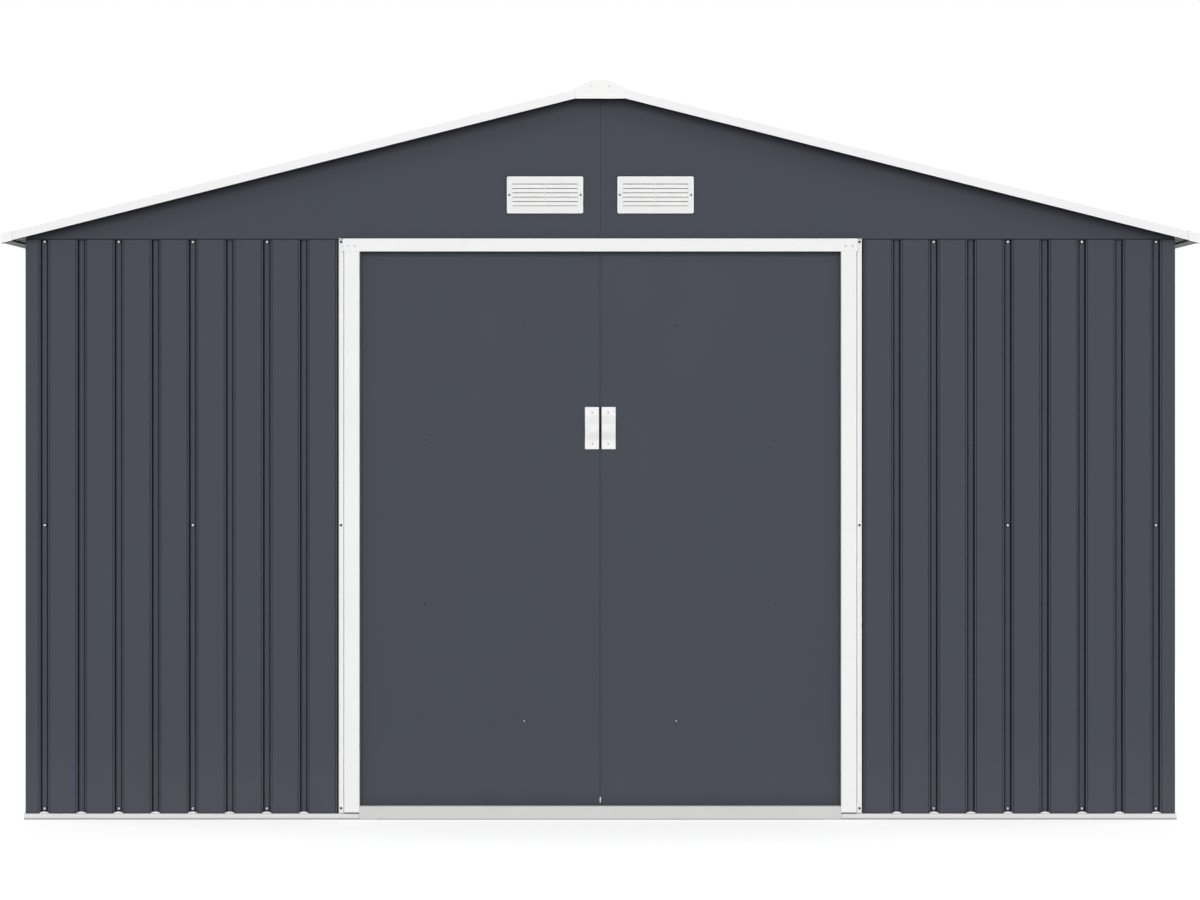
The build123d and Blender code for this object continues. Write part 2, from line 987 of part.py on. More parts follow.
def ridge_outline(inset, skirt):
    # Peak of the ridge cap from shoulder to shoulder, moved inwards by the inset
    drop = ridge_shoulder_drop
    tilt = atan(drop / (ridge_shoulder - ridge_flat))
    ease = inset * (1 - cos(tilt)) / sin(tilt)
    steep = inset * (1 / cos(tilt)) - inset * drop / (ridge_shoulder - ridge_flat)
    wide = ridge_shoulder - inset
    flat = ridge_flat - ease
    shoulder = ridge_top() - drop - steep
    return [(wide, skirt), (wide, shoulder), (flat, ridge_top() - inset)]


def ridge_cap():
    inset = trim_thickness + seat_gap
    skirt = roof_z(ridge_shoulder - inset - trim_thickness) + roof_stack / cos(roof_angle) + seat_gap
    right = ridge_outline(inset, skirt)
    left = [(-x, z) for x, z in reversed(right)]
    section = bent(trim_thickness, *right, *left)
    half = roof_end - cap_wall - 2 * seat_gap - trim_thickness
    return along_y(section, -half, half)


def ridge_end_cap():
    # End plate with a rim that reaches back over the ridge cap
    right = ridge_outline(0, ridge_top() - ridge_plate_height)
    left = [(-x, z) for x, z in reversed(right)]
    plate = outline(*right, *left)
    start = -roof_end + cap_wall - ridge_plate
    cap = along_y(plate, start, start + ridge_plate)
    rim_foot = roof_z(ridge_shoulder) + rake_height - rake_drop + guide_clearance
    upper = ridge_outline(0, rim_foot)
    rim = bent(trim_thickness, *upper, *[(-x, z) for x, z in reversed(upper)])
    cap += along_y(rim, start, start + ridge_rim)
    return cap


def main():
    os.makedirs("parts", exist_ok=True)
    write("base_rails_front", front_base_rails())
    write("base_rail_back", [back(base_rail(half_width, base_flange))])
    write("base_rail_left", [left_side(side_base_rail())])
    write("base_rail_right", [right_side(side_base_rail())])
    write("door_sill", [door_sill()])
    write("door_guide_rail", [door_guide_rail()])

    corners = front_and_back(both(corner_panel()))
    write("corner_panels", corners)
    left_front = front_wall_sheets()
    write("front_wall_left", left_front)
    write("front_wall_right", [mirror(sheet, about=Plane.YZ) for sheet in left_front])
    write("back_wall", back_wall_sheets())
    side_sheets = side_wall_sheets()
    write("left_wall", [left_side(sheet) for sheet in side_sheets])
    write("right_wall", [right_side(sheet) for sheet in side_sheets])
    write("wall_girts", wall_girts())
    level_rail = level_top_rail()
    eave_rail = eave_top_rail()
    rails = [front(level_rail), back(level_rail), left_side(eave_rail), right_side(eave_rail)]
    write("top_rails", rails)

    write("door_jambs", both(door_jamb()))
    write("door_header", [door_header()])
    write("door_track", [door_track()])

    gable = both(gable_panel())
    write("front_gable", gable)
    write("back_gable", [mirror(panel, about=Plane.XZ) for panel in gable])
    vents = both(gable_vent())
    write("front_vents", vents)
    write("back_vents", [mirror(vent, about=Plane.XZ) for vent in vents])

    write("ridge_beam", [ridge_beam()])
    write("purlins", both(purlin()))
    write("front_truss", truss(-truss_y))
    write("back_truss", truss(truss_y))
    right_roof = roof_sheets()
    write("roof_sheets_right", right_roof)
    write("roof_sheets_left", [mirror(sheet, about=Plane.YZ) for sheet in right_roof])
    write("ridge_cap", [ridge_cap()])
    write("ridge_end_caps", front_and_back([ridge_end_cap()]))
    rakes = both(rake_trim())
    write("front_rake_trims", rakes)
    write("back_rake_trims", [mirror(trim, about=Plane.XZ) for trim in rakes])
    write("eave_trims", both(eave_trim()))
    write("eave_corner_caps", front_and_back(both(eave_corner_cap())))

    door = {
        "door_panel": [door_panel()],
        "door_braces": door_braces(),
        "door_handle": [door_handle()],
        "door_hangers": door_hangers(),
        "door_rollers": door_rollers(),
        "door_guides": door_guides(),
    }
    for name, shapes in door.items():
        write("left_" + name, shapes)
        write("right_" + name, [mirror(shape, about=Plane.YZ) for shape in shapes])


main()
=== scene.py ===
import bmesh
import bpy
import json
import math
from mathutils import Matrix, Vector


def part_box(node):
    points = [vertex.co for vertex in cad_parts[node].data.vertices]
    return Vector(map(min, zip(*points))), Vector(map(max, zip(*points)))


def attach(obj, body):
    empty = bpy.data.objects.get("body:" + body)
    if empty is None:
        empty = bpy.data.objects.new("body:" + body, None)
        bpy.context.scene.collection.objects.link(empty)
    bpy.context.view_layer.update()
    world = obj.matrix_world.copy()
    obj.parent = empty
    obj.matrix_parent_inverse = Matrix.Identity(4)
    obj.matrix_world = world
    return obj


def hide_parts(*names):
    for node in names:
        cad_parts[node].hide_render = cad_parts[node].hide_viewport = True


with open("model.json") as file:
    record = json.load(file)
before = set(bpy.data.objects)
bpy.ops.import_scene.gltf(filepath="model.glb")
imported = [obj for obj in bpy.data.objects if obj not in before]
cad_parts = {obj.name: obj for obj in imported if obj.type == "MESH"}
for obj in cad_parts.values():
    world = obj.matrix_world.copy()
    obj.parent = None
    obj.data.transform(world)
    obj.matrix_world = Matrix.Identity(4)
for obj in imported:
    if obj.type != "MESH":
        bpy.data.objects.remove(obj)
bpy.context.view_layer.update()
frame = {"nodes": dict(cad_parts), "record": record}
print("frame loaded:", len(frame["nodes"]), "nodes")

# Where the walls are, read from the frame
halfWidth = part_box("corner_panels")[1].x
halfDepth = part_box("corner_panels")[1].y
wallFoot, wallTop = (corner.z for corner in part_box("front_wall_left"))
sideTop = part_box("left_wall")[1].z

# Camera of the photograph: sizes in pixels, then lengths in metres
photoView = {
    "width": 1200,
    "height": 900,
    "focal": 3884.0,
    "horizon": 395.0,  # row of the eye level
    "middle": 600.3,  # column of the ridge
    "eyeHeight": 1.202,
    "distance": 11.0,  # from the front wall to the lens
    "sensor": 36.0,  # in millimetres
    "clipEnd": 300.0,
}


def makeCamera(view):
    lens = bpy.data.cameras.new("photoCamera")
    lens.sensor_width = view["sensor"]
    lens.lens = view["focal"] / view["width"] * view["sensor"]
    lens.shift_x = (view["width"] / 2 - view["middle"]) / view["width"]
    lens.shift_y = (view["horizon"] - view["height"] / 2) / view["width"]
    lens.clip_end = view["clipEnd"]
    camera = bpy.data.objects.new("photoCamera", lens)
    camera.location = (0.0, -halfDepth - view["distance"], view["eyeHeight"])
    camera.rotation_euler = (math.radians(90), 0.0, 0.0)
    bpy.context.scene.collection.objects.link(camera)
    bpy.context.scene.camera = camera


makeCamera(photoView)
print("camera placed")


# Shader nodes


def feed(node, values):
    # A value is a number, a colour, or the output of another node
    for key, value in values.items():
        if isinstance(value, bpy.types.NodeSocket):
            node.id_data.links.new(value, node.inputs[key])
        else:
            node.inputs[key].default_value = value


def addNode(tree, kind, values=None, **settings):
    node = tree.nodes.new("ShaderNode" + kind)
    for key, value in settings.items():
        setattr(node, key, value)
    feed(node, values or {})
    return node


def mathNode(tree, operation, first, second):
    return addNode(tree, "Math", {0: first, 1: second}, operation=operation).outputs[0]


def vectorNode(tree, operation, values):
    return addNode(tree, "VectorMath", values, operation=operation).outputs[0]


def rangeNode(tree, source, taken, given, easing="LINEAR"):
    # Turns one pair of values into another
    ends = {"From Min": taken[0], "From Max": taken[1], "To Min": given[0], "To Max": given[1]}
    values = {"Value": source, **ends}
    return addNode(tree, "MapRange", values, interpolation_type=easing).outputs["Result"]


def objectPlace(tree):
    return addNode(tree, "TexCoord").outputs["Object"]


def startGroup(name, inputs):
    group = bpy.data.node_groups.new(name, "ShaderNodeTree")
    for label, value in inputs.items():
        made = group.interface.new_socket(name=label, in_out="INPUT", socket_type="NodeSocketFloat")
        made.default_value = value
    return group, group.nodes.new("NodeGroupInput").outputs


def endGroup(group, label, source):
    group.interface.new_socket(name=label, in_out="OUTPUT", socket_type="NodeSocketFloat")
    feed(group.nodes.new("NodeGroupOutput"), {label: source})
    return group


def makeGrainGroup():
    # Noise that can be drawn out along any axis: grain, rolling lines or a slow waver
    inputs = {"Along X": 10.0, "Along Y": 10.0, "Along Z": 10.0, "Detail": 2.0}
    group, inside = startGroup("metalGrain", inputs)
    scales = addNode(group, "CombineXYZ", {axis: inside["Along " + axis] for axis in "XYZ"})
    place = vectorNode(group, "MULTIPLY", {0: objectPlace(group), 1: scales.outputs[0]})
    values = {"Vector": place, "Scale": 1.0, "Detail": inside["Detail"], "Roughness": 0.55}
    return endGroup(group, "Grain", addNode(group, "TexNoise", values).outputs[0])


def makeSpangleGroup():
    # Flat crystals of a zinc coat, each with its own tone
    group, inside = startGroup("zincSpangle", {"Scale": 60.0})
    values = {"Vector": objectPlace(group), "Scale": inside["Scale"], "Randomness": 1.0}
    cells = addNode(group, "TexVoronoi", values, feature="F1")
    tone = addNode(group, "SeparateColor", {"Color": cells.outputs["Color"]})
    return endGroup(group, "Tone", tone.outputs["Red"])


def makeDustGroup():
    # Thin film of dust that fades upwards from the ground and breaks up in patches
    group, inside = startGroup("groundDust", {"Height": 0.3, "Patch": 9.0})
    place = objectPlace(group)
    height = addNode(group, "SeparateXYZ", {0: place}).outputs["Z"]
    fade = rangeNode(group, height, (0.0, inside["Height"]), (1.0, 0.0), "SMOOTHSTEP")
    values = {"Vector": place, "Scale": inside["Patch"], "Detail": 4.0, "Roughness": 0.6}
    patches = addNode(group, "TexNoise", values).outputs[0]
    return endGroup(group, "Dust", mathNode(group, "MULTIPLY", fade, patches))


def makeCreaseShadeGroup():
    # 1 on open faces, falling in folds, grooves and corners: painted shade, an ambient occlusion that
    # darkens the base colour where less light reaches
    group, inside = startGroup("paintedCreaseShade", {"Reach": 0.03, "Soil": 0.5})
    exposed = addNode(group, "AmbientOcclusion", {"Distance": inside["Reach"]}, samples=6)
    lost = mathNode(group, "SUBTRACT", 1.0, exposed.outputs["AO"])
    darkened = mathNode(group, "MULTIPLY", lost, inside["Soil"])
    return endGroup(group, "Clean", mathNode(group, "SUBTRACT", 1.0, darkened))


groups = {
    "grain": makeGrainGroup(),
    "spangle": makeSpangleGroup(),
    "dust": makeDustGroup(),
    "crease": makeCreaseShadeGroup(),
}
print("shader groups ready:", len(groups))


# Materials: a painted finish names what differs from plain sheet paint

sheetPaint = {
    "drift": 0.05,  # how much the tone drifts over a sheet
    "roughness": 0.6,
    "gloss": 0.16,
    "grain": 900.0,  # scale of the noise, one for all axes or one for each
    "grainHeight": 0.00003,
    "waver": (3.0, 3.0, 0.8),
    "waverHeight": 0.0002,
    "crease": (0.007, 0.75),  # reach and strength of the painted shade in folds
    "dust": 0.05,
}
plastic = {
    "drift": 0.015,
    "roughness": 0.5,
    "gloss": 0.26,
    "grain": 1600.0,
    "grainHeight": 0.00004,
    "waver": 14.0,
    "waverHeight": 0.0001,
    "crease": (0.005, 0.25),
    "dust": 0.02,
}
finishes = {
    "darkPaint": {"colour": (0.0512, 0.0576, 0.0752), "drift": 0.07, "waverHeight": 0.0006},
    "doorPaint": {
        "colour": (0.0490, 0.0554, 0.0728),
        "roughness": 0.58,
        "waver": (2.0, 2.0, 1.2),
        "waverHeight": 0.0004,
        "crease": (0.04, 0.24),
    },
    "gablePaint": {
        "colour": (0.0492, 0.0556, 0.0728),
        "drift": 0.06,
        "waver": 1.6,
        "waverHeight": 0.0005,
        "crease": (0.085, 0.7),
    },
    # near-black painted shade for the steep sides of the ribs
    "ribShadowPaint": {
        "colour": (0.0080, 0.0094, 0.0136),
        "drift": 0.1,
        "roughness": 0.66,
        "gloss": 0.12,
        "waverHeight": 0.0003,
        "crease": (0.007, 0.6),
    },
    "backingCoat": {
        "colour": (0.42, 0.43, 0.43),
        "drift": 0.1,
        "gloss": 0.3,
        "grain": (120.0, 120.0, 900.0),
        "grainHeight": 0.00004,
        "waverHeight": 0.0004,
        "crease": (0.03, 0.5),
        "dust": 0.1,
    },
    "whitePaint": {
        "colour": (0.875, 0.876, 0.874),
        "drift": 0.02,
        "roughness": 0.52,
        "gloss": 0.22,
        "grain": 1100.0,
        "grainHeight": 0.00002,
        "waver": (4.0, 4.0, 2.0),
        "crease": (0.006, 0.15),
        "dust": 0.03,
    },
    "railPaint": {
        "colour": (0.745, 0.745, 0.74),
        "drift": 0.03,
        "roughness": 0.55,
        "gloss": 0.25,
        "grain": 700.0,
        "waver": 5.0,
        "crease": (0.01, 0.5),
        "dust": 0.08,
    },
    "sillPaint": {
        "colour": (0.61, 0.61, 0.598),
        "drift": 0.04,
        "roughness": 0.5,
        "gloss": 0.28,
        "grain": (25.0, 500.0, 500.0),
        "grainHeight": 0.00004,
        "waver": (4.0, 9.0, 9.0),
        "crease": (0.01, 0.4),
        "dust": 0.08,
    },
    "mouldedPlastic": {**plastic, "colour": (0.895, 0.895, 0.89)},
    "ventPlastic": {**plastic, "colour": (0.825, 0.825, 0.825)},
    # grey painted contact shadow along the feet of the rails and the sill
    "footShadowGrey": {
        "colour": (0.40, 0.40, 0.39),
        "drift": 0.06,
        "roughness": 0.8,
        "gloss": 0.2,
        "grain": 600.0,
        "grainHeight": 0.0001,
        "waver": 12.0,
        "crease": (0.004, 0.3),
        "dust": 0.1,
    },
    "nylon": {
        "colour": (0.78, 0.78, 0.75),
        "drift": 0.03,
        "roughness": 0.35,
        "gloss": 0.5,
        "grain": 800.0,
        "waver": 30.0,
        "waverHeight": 0.0001,
        "crease": (0.006, 0.3),
    },
    # near-black painted shadow for the undersides of the roof trims, the joints under the gables and the
    # gap between the handles
    "paintedShadowCoat": {
        "colour": (0.012, 0.013, 0.015),
        "drift": 0.1,
        "roughness": 0.7,
        "gloss": 0.2,
        "grain": 700.0,
        "waver": 5.0,
        "crease": (0.02, 0.3),
    },
    "darkScrew": {
        "colour": (0.028, 0.031, 0.037),
        "roughness": 0.45,
        "gloss": 0.4,
        "grain": 1500.0,
        "waver": 40.0,
        "waverHeight": 0.0001,
        "crease": (0.003, 0.5),
    },
    # dark rubber of the screw washers, also the painted shadow of the pads under the jambs
    "darkRubberAndShadow": {
        "colour": (0.03, 0.032, 0.036),
        "drift": 0.1,
        "roughness": 0.75,
        "gloss": 0.3,
        "grain": 1500.0,
        "grainHeight": 0.00006,
        "waver": 20.0,
        "waverHeight": 0.0001,
        "crease": (0.003, 0.3),
        "dust": 0.1,
    },
}
screwMetal = {"roughness": 0.5, "spangle": 400.0, "contrast": 0.06, "lines": 900.0, "lineHeight": 0.00003}
metals = {
    "zincCoat": {
        "colour": (0.62, 0.64, 0.66),
        "roughness": 0.46,
        "metallic": 0.9,
        "spangle": 55.0,
        "contrast": 0.16,
        "lines": 40.0,
        "lineHeight": 0.00005,
    },
    "drawnAluminium": {
        "colour": (0.80, 0.81, 0.82),
        "roughness": 0.34,
        "metallic": 1.0,
        "spangle": 4.0,
        "contrast": 0.05,
        "lines": (2.0, 1500.0, 1500.0),
        "lineHeight": 0.00004,
    },
    "steelScrew": {**screwMetal, "colour": (0.30, 0.30, 0.31), "metallic": 0.5},
    "zincScrew": {**screwMetal, "colour": (0.94, 0.94, 0.94), "metallic": 0.1},
}
surface = {
    "dustColour": (0.36, 0.34, 0.31, 1.0),
    "driftScale": 2.3,  # of the noise behind the drift of tone, against the waver
    "noiseEnds": (0.3, 0.7),  # values of the noise that give the two ends of a range
    "paintSpread": 0.04,  # of the roughness, to both sides
    "metalSpread": 0.07,
}


def grainNode(tree, scales, detail, factor=1.0):
    if not isinstance(scales, tuple):
        scales = (scales,) * 3
    values = {"Along " + axis: scale * factor for axis, scale in zip("XYZ", scales)}
    return groupNode(tree, "grain", {**values, "Detail": detail})


def groupNode(tree, name, values=None):
    return addNode(tree, "Group", values, node_tree=groups[name]).outputs[0]


def blankMaterial(name):
    material = bpy.data.materials.new(name)
    material.use_nodes = True
    tree = material.node_tree
    return material, tree, tree.nodes["Principled BSDF"]


def stackBumps(tree, layers):
    # Each layer is a height and its full size in metres, coarse layers first
    below = {}
    for height, distance in layers:
        values = {"Strength": 1.0, "Distance": distance, "Height": height, **below}
        below = {"Normal": addNode(tree, "Bump", values).outputs["Normal"]}
    return below["Normal"]


def spreadNode(tree, noise, middle, spread):
    # Noise spread to both sides of a middle value
    return rangeNode(tree, noise, surface["noiseEnds"], (middle - spread, middle + spread))


def paintedFinish(name, look):
    # Paint or plastic: a slow drift of tone, painted shade in folds and corners, a film of dust low down,
    # grain and waver as bump
    material, tree, shader = blankMaterial(name)
    grain = grainNode(tree, look["grain"], 2.0)
    waver = grainNode(tree, look["waver"], 1.0)
    drift = grainNode(tree, look["waver"], 4.0, surface["driftScale"])
    reach, shadeStrength = look["crease"]
    unshaded = groupNode(tree, "crease", {"Reach": reach, "Soil": shadeStrength})
    tone = mathNode(tree, "MULTIPLY", spreadNode(tree, drift, 1.0, look["drift"]), unshaded)
    film = mathNode(tree, "MULTIPLY", groupNode(tree, "dust"), look["dust"])
    paint = vectorNode(tree, "SCALE", {0: look["colour"], "Scale": tone})
    cover = {"Factor": film, "A": paint, "B": surface["dustColour"]}
    feed(shader, {
        "Base Color": addNode(tree, "Mix", cover, data_type="RGBA").outputs["Result"],
        "Roughness": spreadNode(tree, drift, look["roughness"], surface["paintSpread"]),
        "Specular IOR Level": look["gloss"],
        "Normal": stackBumps(tree, [(waver, look["waverHeight"]), (grain, look["grainHeight"])]),
    })
    return material


def bareMetalFinish(name, look):
    # Zinc or aluminium: crystals of differing tone under fine rolling or drawing lines
    material, tree, shader = blankMaterial(name)
    crystals = groupNode(tree, "spangle", {"Scale": look["spangle"]})
    lines = grainNode(tree, look["lines"], 3.0)
    tone = rangeNode(tree, crystals, (0.0, 1.0), (1.0 - look["contrast"], 1.0 + look["contrast"]))
    feed(shader, {
        "Base Color": vectorNode(tree, "SCALE", {0: look["colour"], "Scale": tone}),
        "Roughness": spreadNode(tree, lines, look["roughness"], surface["metalSpread"]),
        "Metallic": look["metallic"],
        "Normal": stackBumps(tree, [(lines, look["lineHeight"])]),
    })
    return material


materials = {name: paintedFinish(name, {**sheetPaint, **look}) for name, look in finishes.items()}
materials.update({name: bareMetalFinish(name, look) for name, look in metals.items()})
slotFinish = {
    "dark_sheet": "darkPaint",
    "white_trim": "whitePaint",
    "pale_rail": "railPaint",
    "sill_metal": "sillPaint",
    "galvanised": "zincCoat",
    "track_aluminium": "drawnAluminium",
    "white_plastic": "mouldedPlastic",
    "nylon": "nylon",
}
nodeSlots = {row["node"]: row["material_slot"] for row in frame["record"]["subparts"]}
for cadNode, cadSlot in nodeSlots.items():
    frame["nodes"][cadNode].data.materials.clear()
    frame["nodes"][cadNode].data.materials.append(materials[slotFinish[cadSlot]])
print("materials made:", len(materials))


# Making pieces

squareOn = 0.9  # least part of a normal along an axis, for a face that is square to it
cutSlack = 1e-6  # distance at which a cut takes a vertex as lying on it


def meshOf(work, name):
    mesh = bpy.data.meshes.new(name)
    work.to_mesh(mesh)
    work.free()
    return mesh


def finishPiece(name, work, finishNames, body, replaced=()):
    mesh = meshOf(work, name)
    for finish in finishNames:
        mesh.materials.append(materials[finish])
    piece = bpy.data.objects.new(name, mesh)
    bpy.context.scene.collection.objects.link(piece)
    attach(piece, body)
    if replaced:
        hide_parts(*replaced)
    return piece


def giveThickness(piece, thickness, innerFinish):
    # The skin is the outer face; the inner face takes the next finish of the piece
    solidify = piece.modifiers.new("thickness", "SOLIDIFY")
    solidify.thickness = thickness
    solidify.offset = -1.0
    solidify.use_even_offset = True
    solidify.material_offset = innerFinish
    solidify.material_offset_rim = 0


def roundEdges(work, edges, offset, steps):
    bmesh.ops.bevel(
        work,
        geom=edges,
        offset=offset,
        offset_type="OFFSET",
        segments=steps,
        profile=0.5,
        affect="EDGES",
        clamp_overlap=True,
        material=-1,
    )


def sharpEdges(work, degrees):
    limit = math.radians(degrees)
    return [edge for edge in work.edges if len(edge.link_faces) == 2 and edge.calc_face_angle() > limit]


def vertsOf(geometry):
    return [item for item in geometry if isinstance(item, bmesh.types.BMVert)]


def edgesAmong(work, verts):
    return [edge for edge in work.edges if edge.verts[0] in verts and edge.verts[1] in verts]


def placeAll(work, matrix):
    bmesh.ops.transform(work, matrix=matrix, verts=work.verts)
    if matrix.determinant() < 0:
        bmesh.ops.reverse_faces(work, faces=work.faces)


def addMesh(work, part):
    # Joins one finished bmesh to another
    held = meshOf(part, "held")
    work.from_mesh(held)
    bpy.data.meshes.remove(held)


def stamp(work, shape, matrix):
    # Adds a copy of a finished mesh, set in its place
    before = len(work.verts)
    work.from_mesh(shape)
    work.verts.ensure_lookup_table()
    bmesh.ops.transform(work, matrix=matrix, verts=work.verts[before:])


def boxBetween(low, high):
    work = bmesh.new()
    low, high = Vector(low), Vector(high)
    bmesh.ops.create_cube(work, size=1.0)
    bmesh.ops.scale(work, vec=high - low, verts=work.verts)
    bmesh.ops.translate(work, vec=(high + low) / 2, verts=work.verts)
    return work


def addBar(work, low, high, ease, steps, place=Matrix()):
    # A bar with rounded edges between two corners, then turned or mirrored to its place
    bar = boxBetween(low, high)
    roundEdges(bar, bar.edges[:], ease, steps)
    placeAll(bar, place)
    addMesh(work, bar)


def move(x, y, z):
    return Matrix.Translation((x, y, z))


def turn(angle, axis="Z"):
    return Matrix.Rotation(math.radians(angle), 4, axis)


mirrorX = Matrix.Diagonal((-1, 1, 1, 1))
mirrorY = Matrix.Diagonal((1, -1, 1, 1))
frontFrame = move(0, -halfDepth, 0)  # x along the wall, y into the shed
backFrame = turn(180) @ frontFrame
leftFrame = turn(-90) @ move(0, -halfWidth, 0)
rightFrame = turn(180) @ leftFrame


# Ribbed wall sheets

wallSheet = {
    "pitch": 0.105,
    "cornerToRib": 0.053,
    "frontPitches": 8,  # from the corner to the doorway
    "sheetPitches": 4,
    "metal": 0.0008,
    "bend": 0.0007,
    "bendSteps": 2,
    "floor": 0.012,  # depth of the bottom of a rib
    "lapLift": 0.001,
    "lapMargin": 0.001,
    "side": ((0.0164, 0.0), (0.0147, 0.0024), (0.0104, 0.0027), (0.0070, 0.012)),  # reach and depth
}
ribSide = {
    "slant": 0.75,  # least part of the normal along the wall
    "pastFold": 0.02,  # from the fold of a corner panel
    "slack": 0.001,
}
# the second coat is the painted shade on the rib sides
sheetCoats = ("darkPaint", "ribShadowPaint", "backingCoat", "backingCoat")


def ribRow(halfLength, top, pitches=None):
    # Ribs from corner to corner, or to the doorway, where the jamb covers the last one
    whole = round(2 * (halfLength - wallSheet["cornerToRib"]) / wallSheet["pitch"])
    return {
        "start": wallSheet["cornerToRib"] - halfLength,
        "pitches": pitches or whole,
        "shown": pitches or whole + 1,
        "top": top,
    }


frontRow = ribRow(halfWidth, wallTop, wallSheet["frontPitches"])
sideRow = ribRow(halfDepth, sideTop)
wallRows = {
    "frontSheetsLeft": {**frontRow, "place": frontFrame, "node": "front_wall_left"},
    "frontSheetsRight": {**frontRow, "place": mirrorX @ frontFrame, "node": "front_wall_right"},
    "backSheets": {**ribRow(halfWidth, wallTop), "place": backFrame, "node": "back_wall"},
    "leftSheets": {**sideRow, "place": leftFrame, "node": "left_wall"},
    "rightSheets": {**sideRow, "place": rightFrame, "node": "right_wall"},
}


def foldedStrip(work, line, low, high, sheet):
    # A bent sheet stood on end: the outer side is to the right of the line seen from above
    corners = [work.verts.new((x, y, low)) for x, y in line]
    foot = [work.edges.new(pair) for pair in zip(corners, corners[1:])]
    made = bmesh.ops.extrude_edge_only(work, edges=foot)["geom"]
    faces = [item for item in made if isinstance(item, bmesh.types.BMFace)]
    bmesh.ops.translate(work, vec=(0, 0, high - low), verts=vertsOf(made))
    outward = (corners[1].co - corners[0].co).cross(Vector((0, 0, 1)))
    for face in faces:
        face.normal_update()
    if foot[0].link_faces[0].normal.dot(outward) < 0:
        bmesh.ops.reverse_faces(work, faces=faces)
    folds = {edge for face in faces for edge in face.edges if len(edge.link_faces) == 2}
    roundEdges(work, list(folds), sheet["bend"], sheet["bendSteps"])


def markShadedSides(work, atCorner=False):
    # The steep sides of ribs take the second finish of the piece, a near-black paint that stands in for
    # their shade
    for face in work.faces:
        face.normal_update()
        middle = face.calc_center_median()
        secondLeg = atCorner and middle.y > middle.x > -ribSide["slack"]
        slant = abs(face.normal.y if secondLeg else face.normal.x)
        if slant > ribSide["slant"] and (not atCorner or max(middle.x, middle.y) > ribSide["pastFold"]):
            face.material_index = 1


def fallingSide(rib, sheet):
    return [(rib - reach, depth) for reach, depth in sheet["side"]]


def risingSide(rib, sheet):
    return [(rib + reach, depth) for reach, depth in reversed(sheet["side"])]


def lapStart(rib, sheet, lift):
    # The edge of a sheet in the bottom of a rib, lifted where it covers its neighbour
    level = sheet["floor"] - lift
    foot = sheet["side"][-1][0]
    line = [(rib - foot + sheet["lapMargin"], level), (rib + foot, level)]
    return line + risingSide(rib, sheet)[1:]


def sheetLine(ribs, sheet, start, end):
    # Each end is over or under its neighbour's rib, or a plain edge at the distance given
    whole = list(ribs)
    if start in ("over", "under"):
        line = lapStart(ribs[0], sheet, sheet["lapLift"] if start == "over" else 0.0)
        whole = whole[1:]
    else:
        line = [(start, sheet["face"])]
    if end == "under":
        whole = whole[:-1]
    for rib in whole:
        line += fallingSide(rib, sheet) + risingSide(rib, sheet)
    if end == "under":
        foot = sheet["side"][-1][0]
        line += fallingSide(ribs[-1], sheet)
        line.append((ribs[-1] + foot - sheet["lapMargin"], sheet["floor"]))
    else:
        line.append((end, sheet["face"]))
    return line


def rowOfSheets(sheet, start, pitches, low, high, ends=("under", "under")):
    # Sheets side by side, each lapped over the one before it
    ribs = [start + index * sheet["pitch"] for index in range(pitches + 1)]
    work = bmesh.new()
    for first in range(0, pitches, sheet["sheetPitches"]):
        last = min(first + sheet["sheetPitches"], pitches)
        left = ends[0] if first == 0 else "over"
        right = ends[1] if last == pitches else "under"
        foldedStrip(work, sheetLine(ribs[first:last + 1], sheet, left, right), low, high, sheet)
    markShadedSides(work)
    return work


def finishSheets(name, work, sheet, node):
    piece = finishPiece(name, work, sheetCoats, "shed", (node,))
    giveThickness(piece, sheet["metal"], 2)


def makeWalls():
    for name, row in wallRows.items():
        work = rowOfSheets(wallSheet, row["start"], row["pitches"], wallFoot, row["top"])
        placeAll(work, row["place"])
        finishSheets(name, work, wallSheet, row["node"])


def makeCorners():
    # One folded panel a corner, which covers the first rib of both walls
    rib = wallSheet["cornerToRib"]
    foot = wallSheet["side"][-1][0]
    level = wallSheet["floor"] - wallSheet["lapLift"]
    side = fallingSide(rib, wallSheet)[:-1]
    side += [(rib - foot, level), (rib + foot - wallSheet["lapMargin"], level)]
    line = [(depth, along) for along, depth in reversed(side)] + [(0, 0)] + side
    work = bmesh.new()
    for place in (Matrix(), mirrorX, mirrorY, mirrorX @ mirrorY):
        panel = bmesh.new()
        foldedStrip(panel, line, wallFoot, wallTop, wallSheet)
        markShadedSides(panel, True)
        placeAll(panel, place @ move(-halfWidth, -halfDepth, 0))
        addMesh(work, panel)
    finishSheets("cornerSheets", work, wallSheet, "corner_panels")


makeWalls()
makeCorners()
print("wall sheets made")


# Roof sheets

roofSheet = {
    **wallSheet,
    "pitches": 35,
    "bend": 0.001,
    "face": -0.0008,
    "floor": -0.0128,
    "side": ((0.016, -0.0008), (0.008, -0.0128)),
    "rounds": 4,  # in which the slope is found
}


